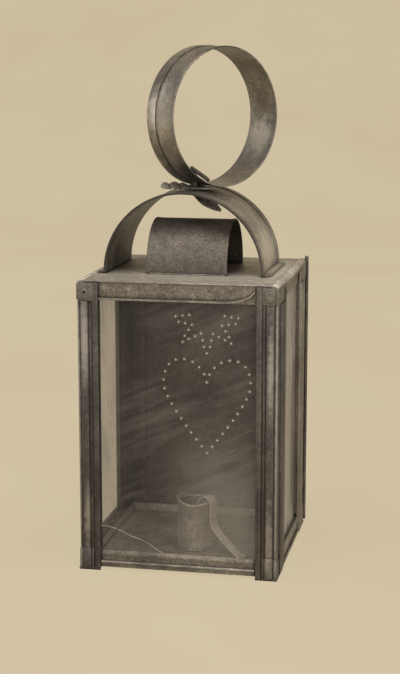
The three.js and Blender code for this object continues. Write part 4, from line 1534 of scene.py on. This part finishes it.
@dataclass
class CarryingRing(Assembly):
    """The hemmed ring, the ruffled leaf under it and the strip that it swivels on.

    Attributes:
        centre: The ring's middle.
        axis: The ring's axis, towards the hemmed rim.
        radius: Its outer radius.
        sheet: Thickness of the tinplate.
        half: Half its width.
        hem: Width of the hem on the far rim.
        hem_rise: How far the hem stands out.
        fold_rise: How far the fine fold along the near rim stands out, and how deep the hem's groove is.
        swivel: The swivel's axis at the strap's crown.
        leaf_turn: Degrees from +X to the leaf.
        leaf_back: The leaf's ruffled length.
        leaf_front: The leaf's plain length.
        leaf_neck: Where the ruffle starts behind the swivel.
        leaf_half: Half its width.
        leaf_seat: Gap between it and the strap.
        leaf_lean: Its lean at the neck and behind, in degrees.
        leaf_flat: Where its lean starts to fade and where it has gone, towards the front.
        leaf_point: How blunt its front end is.
        leaf_least: Half its width at the very front.
        leaf_taper: How much narrower it gets to its back end, as a share.
        leaf_tip: Share of the ruffled length where it rounds to its end.
        petals: How many petals it is ruffled into.
        petal_waist: Width where two petals meet, as a share of the widest.
        ruffle: Step from one petal to the next.
        ruffle_in: How many times over it leans, and rises, within the ruffled length.
        bar_back: Length of the bar behind the shank.
        bar_front: Its length in front.
        bar_half: Half its width.
        bar_ends: How long its front and back ends are rounded.
        bar_roll: Its roll in degrees.
        bar_sheet: Its thickness.
        bar_z: Its height at the shank.
        bar_slope: Its fall in degrees.
        shank: The shank's thickness and width.
        under_turn: Degrees from +X to the leaf under the strap.
        under_heel: Its length behind the shank.
        under_length: Its length in front.
        under_half: Half its width.
        under_roll: Its roll in degrees.
        under_slope: Its fall in degrees.
        under_z: Its height at the shank.
        under_shape: How far forward it is widest, and how full its sides are; smaller is more.
        under_curl: Where its roll starts and where it is full.
        least_ends: Least width at the ends of the leaf, of the bar and of the leaf under it, as shares.
    """

    centre: Point = (9.05, 8.2, 286.8)
    axis: Point = (-0.788, 0.6157, 0.0)
    radius: float = 44.8
    sheet: float = 0.8
    half: float = 12.75
    hem: float = 8.3
    hem_rise: float = 0.5
    fold_rise: float = 0.12
    swivel: Point = (-0.8, -4.4, 240.1)
    leaf_turn: float = 20.0
    leaf_back: float = 22.0
    leaf_front: float = 13.0
    leaf_neck: float = 3.0
    leaf_half: float = 5.2
    leaf_seat: float = 0.4
    leaf_lean: Pair = (10.0, 22.0)
    leaf_flat: Pair = (4.0, 9.0)
    leaf_point: float = 2.4
    leaf_least: float = 0.3
    leaf_taper: float = 0.2
    leaf_tip: float = 0.86
    petals: int = 3
    petal_waist: float = 0.7
    ruffle: float = 0.8
    ruffle_in: Pair = (2.5, 3.0)
    bar_back: float = 3.0
    bar_front: float = 12.2
    bar_half: float = 1.8
    bar_ends: Pair = (2.2, 1.5)
    bar_roll: float = 48.0
    bar_sheet: float = 1.5
    bar_z: float = 252.6
    bar_slope: float = 30.0
    shank: Pair = (1.2, 4.0)
    under_turn: float = -12.0
    under_heel: float = 7.0
    under_length: float = 18.5
    under_half: float = 5.2
    under_roll: float = 42.0
    under_slope: float = 32.0
    under_z: float = 237.9
    under_shape: Pair = (0.85, 0.62)
    under_curl: Pair = (-1.0, 7.0)
    least_ends: Point = (0.12, 0.25, 0.08)

    def band(self) -> Piece:
        """Turn the ring: a hem on its far rim and a fine fold along the near one.

        Returns:
            The ring.
        """
        out, bore, half, fold = self.radius, self.radius - self.sheet, self.half, self.fold_rise
        hem_out, hem_at = out + self.hem_rise, half - self.hem
        piece = turned([
            (bore, -half + 0.2), (bore + 0.25, -half), (out - 0.05, -half), (out + fold, -half + 0.25),
            (out + fold, -half + 1.2), (out - 0.02, -half + 1.5), (out, -half + 1.9),
            (out, hem_at - 0.5), (out - fold, hem_at - 0.2), (out - fold, hem_at), (hem_out - 0.1, hem_at + 0.1),
            (hem_out, hem_at + 0.4), (hem_out, half - 0.3), (hem_out - 0.25, half), (bore + 0.25, half),
            (bore, half - 0.2), (bore, -half + 0.2),
        ], 160)
        aim(piece, self.centre, self.axis)
        return settle(piece, "ring_band_sheet", Body.RING, self.finishes.ring, replaces=["ring_band"])

    def place(self, piece: Piece, turn: float, z: float) -> None:
        """Set a strip that was bent along X on the swivel's axis.

        Args:
            piece: The strip.
            turn: Degrees from +X to its front.
            z: Its height.
        """
        put(piece, (self.swivel[0], self.swivel[1], z), (0, 0, turn))

    def leaf_row(self, share: float) -> Row:
        """Shape the leaf on the strap: plain in front, and ruffled into lapped petals behind.

        Args:
            share: Share of its length, from the back.

        Returns:
            The row's X, its Z, half its width and its lean.
        """
        x = (self.leaf_back + self.leaf_front) * share - self.leaf_back
        plain, ruffled = self.leaf_lean
        if x > -self.leaf_neck:
            fading, flat = self.leaf_flat
            half = max(self.leaf_least, self.leaf_half * (1 - max(0, x / self.leaf_front) ** self.leaf_point))
            lean = plain * clamp((flat - x) / (flat - fading))
            return x, self.leaf_seat + half * math.sin(math.radians(lean)), half, lean
        out = (-x - self.leaf_neck) / (self.leaf_back - self.leaf_neck)
        petal = self.petals * out % 1 if out < 1 else 1.0
        swell = (1 - self.petal_waist) * math.sin(math.pi * petal)
        half = self.leaf_half * (self.petal_waist + swell) * (1 - self.leaf_taper * out)
        if out > self.leaf_tip:
            rounding = (out - self.leaf_tip) / (1 - self.leaf_tip)
            half *= max(self.least_ends[0], math.sqrt(max(0.0, 1 - rounding ** 2)))
        leaning, rising = self.ruffle_in
        lean = plain + (ruffled - plain) * clamp(leaning * out)
        rise = self.ruffle * petal * clamp(rising * out)
        return x, self.leaf_seat + half * math.sin(math.radians(lean)) + rise, half, lean

    def tongue_row(self, share: float) -> Row:
        """Shape the bar inside the ring.

        Args:
            share: Share of its length, from the back.

        Returns:
            The row's X, its Z, half its width and its lean.
        """
        x = (self.bar_back + self.bar_front) * share - self.bar_back
        front, back = self.bar_ends
        near_end = min(1.0, (self.bar_front - x) / front, (x + self.bar_back) / back)
        half = self.bar_half * max(self.least_ends[1], math.sqrt(max(0.0, 1 - (1 - near_end) ** 2)))
        return x, -x * math.tan(math.radians(self.bar_slope)), half, self.bar_roll

    def under_row(self, share: float) -> Row:
        """Shape the leaf under the strap: its heel lies level and the rest falls.

        Args:
            share: Share of its length, from the heel.

        Returns:
            The row's X, its Z, half its width and its lean.
        """
        x = (self.under_heel + self.under_length) * share - self.under_heel
        (widest, full), (level, rolled) = self.under_shape, self.under_curl
        half = self.under_half * max(self.least_ends[2], math.sin(math.pi * share ** widest)) ** full
        fall = max(0.0, x - self.shank[0]) * math.tan(math.radians(self.under_slope))
        return x, -fall, half, self.under_roll * clamp((x - level) / (rolled - level))

    def build(self) -> list[Piece]:
        """Turn the ring, and bend its leaf and the tongue, shank and leaf of its swivel strip.

        Returns:
            The new pieces.
        """
        tin, body = self.finishes, Body.RING
        turn = math.degrees(math.atan2(self.axis[1], self.axis[0])) - 90
        band = self.band()
        ruffled = bent_strip(92, self.leaf_row, 0.7)
        self.place(ruffled, self.leaf_turn, self.swivel[2] + self.leaf_seat)
        settle(ruffled, "ruffled_leaf", body, tin.leaf, replaces=["leaf_washer"], smooth=60.0)
        top = bent_strip(40, self.tongue_row, self.bar_sheet)
        self.place(top, turn, self.bar_z)
        # The leaf under the strap takes the pale leaf finish: painted light in the strap's shadow
        low = bent_strip(52, self.under_row, 0.8)
        self.place(low, self.under_turn, self.under_z)
        shank = blank(self.shank, (0, 0, 0))
        with picked(shank, mode="FACE"):
            extrude(0, 0, self.bar_z - self.under_z)
        merge(shank)
        self.place(shank, turn, self.under_z)
        soften(shank, 0.2)
        return [
            band, ruffled,
            settle(top, "swivel_tongue", body, tin.door, replaces=["swivel_strip"], smooth=60.0),
            settle(shank, "swivel_shank", body, tin.door),
            settle(low, "swivel_under_leaf", body, tin.leaf, smooth=60.0),
        ]


@dataclass
class CandleHolder(Assembly):
    """The floor pan, the candle socket with its dipping rim and its dark lining, and the brace hooked over it.

    Attributes:
        centre: The socket's axis.
        radius: Its outer radius.
        sheet: Thickness of the tinplate.
        foot_z: Height of its foot.
        rim_z: Height of its rim at the left and the right.
        dip: How deep the rim dips at the front and the back.
        steps: Facets round the socket.
        soot_gap: How far the dark lining ends below the dips.
        brace_turn: Degrees from +X to the brace.
        brace_half: Half the brace's width.
        brace_path: The brace's bends, out from the socket's axis and above the ground.
    """

    centre: Pair = (2.0, -13.0)
    radius: float = 12.7
    sheet: float = 0.8
    foot_z: float = 3.1
    rim_z: float = 37.5
    dip: float = 3.0
    steps: int = 72
    soot_gap: float = 0.9
    brace_turn: float = -31.0
    brace_half: float = 3.2
    brace_path: tuple[Pair, ...] = (
        (3.0, 32.4), (4.2, 35.0), (6.4, 37.4), (9.4, 38.9), (12.2, 38.7), (14.3, 37.0), (15.2, 33.8), (15.2, 29.0),
        (15.0, 24.5), (15.5, 20.8), (17.8, 17.4), (24.0, 12.9), (31.0, 8.0), (36.6, 4.5), (38.6, 3.7), (42.0, 3.6),
    )

    def tube(self) -> Piece:
        """Turn the socket with its rolled rim, and press the rim down at the front and the back.

        Returns:
            The socket.
        """
        out, bore, top = self.radius, self.radius - self.sheet, self.rim_z - self.foot_z
        piece = turned([
            (bore, 0), (out, 0), (out, top - 1.7), (out + 0.35, top - 1.4), (out + 0.55, top - 0.9),
            (out + 0.45, top - 0.35), (out + 0.1, top), (bore + 0.3, top), (bore, top - 0.3), (bore, 0),
        ], self.steps)
        facet = math.tau / self.steps
        for i in range(1, self.steps // 4 + 1):
            with picked(piece, lambda p: p.z > top / 2 and round(math.atan2(abs(p.y), abs(p.x)) / facet) == i):
                shift(0, 0, -self.dip * math.sin(i * facet) ** 2)
        return piece

    def grime_and_painted_shade(self) -> Piece:
        """Line the socket's bore with a dark lining: old tallow and smoke-black, and painted shade inside the
        tube.

        Returns:
            The lining.
        """
        bore = self.radius - self.sheet - 0.05
        inner, foot, top = bore - 0.4, 0.3, self.rim_z - self.dip - self.foot_z - self.soot_gap
        return turned([(inner, foot), (bore, foot), (bore, top), (inner, top), (inner, foot)], self.steps)

    def fillet(self) -> Piece:
        """Lay the fillet of solder round the socket's foot.

        Returns:
            The fillet.
        """
        r = self.radius
        return turned([(r - 0.1, 1.6), (r + 0.35, 0.9), (r + 0.8, 0.35), (r + 1.7, 0.0), (r - 0.1, -0.1),
                       (r - 0.1, 1.6)], self.steps)

    def brace_row(self, share: float) -> Row:
        """Walk along the brace's bends.

        Args:
            share: Share of the bends passed.

        Returns:
            The row's X, its Z, half its width and no lean.
        """
        at = share * (len(self.brace_path) - 1)
        i = min(int(at), len(self.brace_path) - 2)
        (r0, z0), (r1, z1) = self.brace_path[i:i + 2]
        return r0 + (r1 - r0) * (at - i), z0 + (z1 - z0) * (at - i), self.brace_half, 0.0

    def build(self) -> list[Piece]:
        """Dress the floor pan, and model the socket, its dark lining, its solder and its brace.

        Returns:
            The new pieces.
        """
        tin = self.finishes
        dress("floor_pan", tin.floor)
        pieces = []
        # The bore's dark lining takes the door's finish: partly old tallow, partly painted shade inside the tube
        for piece, name, finish, slot, node in (
            (self.tube(), "socket_tube", tin.socket, Slot.WORN, ["candle_socket"]),
            (self.grime_and_painted_shade(), "socket_soot", tin.door, Slot.DARK, []),
            (self.fillet(), "socket_solder", tin.solder, Slot.BRIGHT, []),
        ):
            put(piece, (*self.centre, self.foot_z))
            pieces.append(settle(piece, name, Body.CASE, finish, replaces=node, smooth=60.0))
        brace = bent_strip(45, self.brace_row, self.sheet)
        put(brace, (*self.centre, 0), (0, 0, self.brace_turn))
        return [*pieces, settle(brace, "brace_strip", Body.CASE, tin.brace,
                                replaces=["socket_brace"], smooth=60.0)]


@dataclass
class BackDoor(Assembly):
    """The pierced door with its hinge and turn button.

    Attributes:
        inner: The panel's inner face, along Y.
        middle: The ornament's middle, along X.
        heart_tip: Height of the heart's lower tip.
        lobe: Control points of the heart's upper half, out from the middle and above the tip.
        flank: Control points of its lower half.
        heart_holes: Holes on each half, between the tip and the notch.
        fine: Steps that each half of the heart is measured in.
        tulip_z: Height of the tulips' lowest hole.
        rows: Each row's first and last hole and their number.
        hole: Radius of a hole.
    """

    inner: float = 63.1
    middle: float = -5.7
    heart_tip: float = 46.5
    lobe: tuple[Point, ...] = ((0, 51.5), (4, 71.5), (31.5, 75.5), (31.5, 50.5))
    flank: tuple[Point, ...] = ((31.5, 50.5), (31.5, 38.5), (8.8, 11), (0, 0))
    heart_holes: int = 17
    fine: int = 200
    tulip_z: float = 119.0
    rows: tuple[tuple[Point, Point, int], ...] = (
        ((2.2, 4.5), (4.2, 14), 3), ((8.5, 12), (17.5, 7.5), 3), ((16, 12), (13.3, 16.3), 2),
        ((10.8, 20), (20.4, 21.8), 3), ((12.7, 27), (22.4, 25.8), 3),
    )
    hole: float = 1.3

    def outline(self) -> list[Pair]:
        """Walk down one half of the heart at even steps.

        Returns:
            The holes from the notch to the tip.
        """
        line = []
        for a, b, c, d in (self.lobe, self.flank):
            for t in (i / self.fine for i in range(self.fine)):
                line.append(tuple((1 - t) ** 3 * a[k] + 3 * (1 - t) ** 2 * t * b[k] + 3 * (1 - t) * t ** 2 * c[k]
                                  + t ** 3 * d[k] for k in (0, 1)))
        line.append(self.flank[3])
        walked = [0.0]
        for before, after in zip(line, line[1:]):
            walked.append(walked[-1] + math.dist(before, after))
        marks = []
        for i in range(self.heart_holes + 2):
            goal = walked[-1] * i / (self.heart_holes + 1)
            x, z = line[min(range(len(line)), key=lambda k: abs(walked[k] - goal))]
            marks.append((x, self.heart_tip + z))
        return marks

    def holes(self) -> list[Pair]:
        """List the ornament's holes.

        Returns:
            Each hole along X and Z.
        """
        half = self.outline()
        heart = half + [(-x, z) for x, z in half[1:-1]]
        right = [
            (start[0] + (end[0] - start[0]) * i / (number - 1),
             self.tulip_z + start[1] + (end[1] - start[1]) * i / (number - 1))
            for start, end, number in self.rows for i in range(number)
        ]
        tulips = [(0.0, self.tulip_z), *right, *[(-x, z) for x, z in right]]
        return [(self.middle + x, z) for x, z in heart + tulips]

    def burrs(self) -> Piece:
        """Raise the burr that the punch left round each hole: one is modelled and the rest are copied.

        Returns:
            All the burrs as one piece.
        """
        r = self.hole
        first = turned([(r + 0.4, -0.02), (r + 0.15, 0.3), (r - 0.2, 0.8), (r - 0.8, 0.85), (r - 0.6, 0.4),
                        (r - 0.02, -0.1), (r + 0.4, -0.02)], 14)
        copies = []
        for x, z in self.holes():
            copy = first.copy()
            copy.data = first.data.copy()
            put(copy, (x, self.inner, z), (90, 0, 0))
            bpy.context.scene.collection.objects.link(copy)
            copies.append(copy)
        bpy.data.objects.remove(first)
        # The burrs' pale finish is a painted highlight round each hole
        return settle(joined(copies), "door_hole_burrs", Body.DOOR, self.finishes.burr, smooth=60.0)

    def build(self) -> list[Piece]:
        """Dress the door's pieces and raise its burrs.

        Returns:
            The burrs.
        """
        tin = self.finishes
        dress("door_panel", tin.door, rounding=0)
        dress("hinge_knuckle_lower", tin.post)
        dress("hinge_knuckle_upper", tin.post)
        dress("hinge_wire", tin.clip)
        dress("latch_button", tin.clip, rounding=0.25)
        dress("latch_rivet", tin.iron, rounding=0.3)
        return [self.burrs()]


@dataclass
class Studio(Assembly):
    """A buff sweep, soft lamps and the camera.

    Attributes:
        azimuth: The camera's turn from the front towards the right, in degrees.
        elevation: Its height above level, in degrees.
        distance: From the target to the camera.
        target: What it looks at.
        focal: The focal length, in the photograph's pixels.
        frame_height: The photograph's height in pixels.
        sensor: The camera's sensor.
        lamps: Each lamp's name, its place and its side in metres, and its power in watts.
        lamp_colour: Colour of the lamps.
        lit_at: What the lamps look at, in metres.
        room: Colour of the room's light.
        room_light: Its strength.
        beyond: What the camera sees past the card.
        card_side: Side of the card's floor, in metres.
        card_bend: Radius of the sweep's bend, in metres.
        card_rise: Height of the sweep behind the lantern, in metres.
    """

    azimuth: float = 11.29
    elevation: float = 10.5
    distance: float = 1009.66
    target: Point = (2.21, -2.0, 142.71)
    focal: float = 1529.6
    frame_height: int = 674
    sensor: float = 36.0
    lamps: tuple[tuple[str, Point, float, float], ...] = (
        ("key", (1.7, -1.0, 0.5), 1.0, 20.0), ("front", (-0.2, -2.0, 0.4), 1.2, 10.0),
        ("fill", (-1.6, -0.9, 0.5), 1.4, 9.0), ("top", (0.1, -0.6, 2.0), 1.4, 32.0),
        ("back", (-2.4, 1.8, 1.0), 1.4, 14.0),
    )
    lamp_colour: Point = (1.0, 0.975, 0.99)
    lit_at: Point = (0, 0, 0.15)
    room: str = "#e6e0d6"
    room_light: float = 0.3
    beyond: str = "#cdbd9f"
    card_side: float = 8.0
    card_bend: float = 2.5
    card_rise: float = 6.0

    def camera(self) -> None:
        """Set the camera at the drawing's angle."""
        a, e = math.radians(self.azimuth), math.radians(self.elevation)
        back = Vector((math.sin(a) * math.cos(e), -math.cos(a) * math.cos(e), math.sin(e)))
        data = bpy.data.cameras.new("camera")
        data.sensor_width = self.sensor
        data.lens = self.focal * self.sensor / self.frame_height
        data.clip_start, data.clip_end = 0.05, 50.0
        eye = bpy.data.objects.new("camera", data)
        bpy.context.scene.collection.objects.link(eye)
        eye.location = (Vector(self.target) + back * self.distance) * MM
        eye.rotation_mode = "QUATERNION"
        eye.rotation_quaternion = (-back).to_track_quat("-Z", "Y")
        bpy.context.scene.camera = eye

    def light(self) -> None:
        """Hang the square soft lamps, each looking at the lantern, and light the room."""
        for name, place, size, power in self.lamps:
            data = bpy.data.lights.new(name, "AREA")
            data.size, data.energy, data.color = size, power, self.lamp_colour
            lamp = bpy.data.objects.new(name, data)
            bpy.context.scene.collection.objects.link(lamp)
            lamp.location = place
            lamp.rotation_euler = (Vector(self.lit_at) - Vector(place)).to_track_quat("-Z", "Y").to_euler()
        world = bpy.data.worlds.new("room")
        bpy.context.scene.world = world
        world.use_nodes = True
        sky = Graph(world.node_tree)
        lit = sky.node("Background", "Background", {"Color": linear(self.room), "Strength": self.room_light})
        seen = sky.node("Background", "Background", {"Color": linear(self.beyond), "Strength": 1.0})
        both = sky.node("MixShader", "Shader", {0: sky.node("LightPath", "Is Camera Ray"), 1: lit, 2: seen})
        sky.feed(world.node_tree.nodes["World Output"], {"Surface": both})

    def sweep(self) -> None:
        """Model the floor and its curved rise behind the lantern."""
        bpy.ops.mesh.primitive_plane_add(size=self.card_side, location=(0, 0, 0))
        floor = bpy.context.active_object
        near = 100.0  # an edge within this distance of the back, or of the ground, lies there
        edge = self.card_side / 2 / MM - near
        with picked(floor, lambda p: p.y > edge, "EDGE"):
            extrude(0, 0, self.card_rise / MM)
        with picked(floor, lambda p: p.y > edge and p.z < near, "EDGE"):
            bpy.ops.mesh.bevel(offset=self.card_bend, segments=24, affect="EDGES")
        activate(floor)
        bpy.ops.object.shade_smooth()
        floor.name = "card_sweep"
        floor.data.materials.append(self.finishes.card)

    def build(self) -> list[Piece]:
        """Set up the studio.

        Returns:
            No pieces of the lantern.
        """
        self.sweep()
        self.camera()
        self.light()
        bpy.context.scene.view_settings.view_transform = "Standard"
        return []


def main() -> None:
    """Build every sub-assembly and report it."""
    logging.basicConfig(level=logging.INFO, format="%(name)s: %(message)s")
    finishes = Finishes()
    for kind in (CornerFrame, Glazing, Roof, StrapHandle, CarryingRing, CandleHolder, BackDoor, Studio):
        pieces = kind(finishes).build()
        log.info("%s: %s", kind.__name__, ", ".join(p.name for p in pieces) or "no new pieces")


if __name__ == "__main__":
    main()
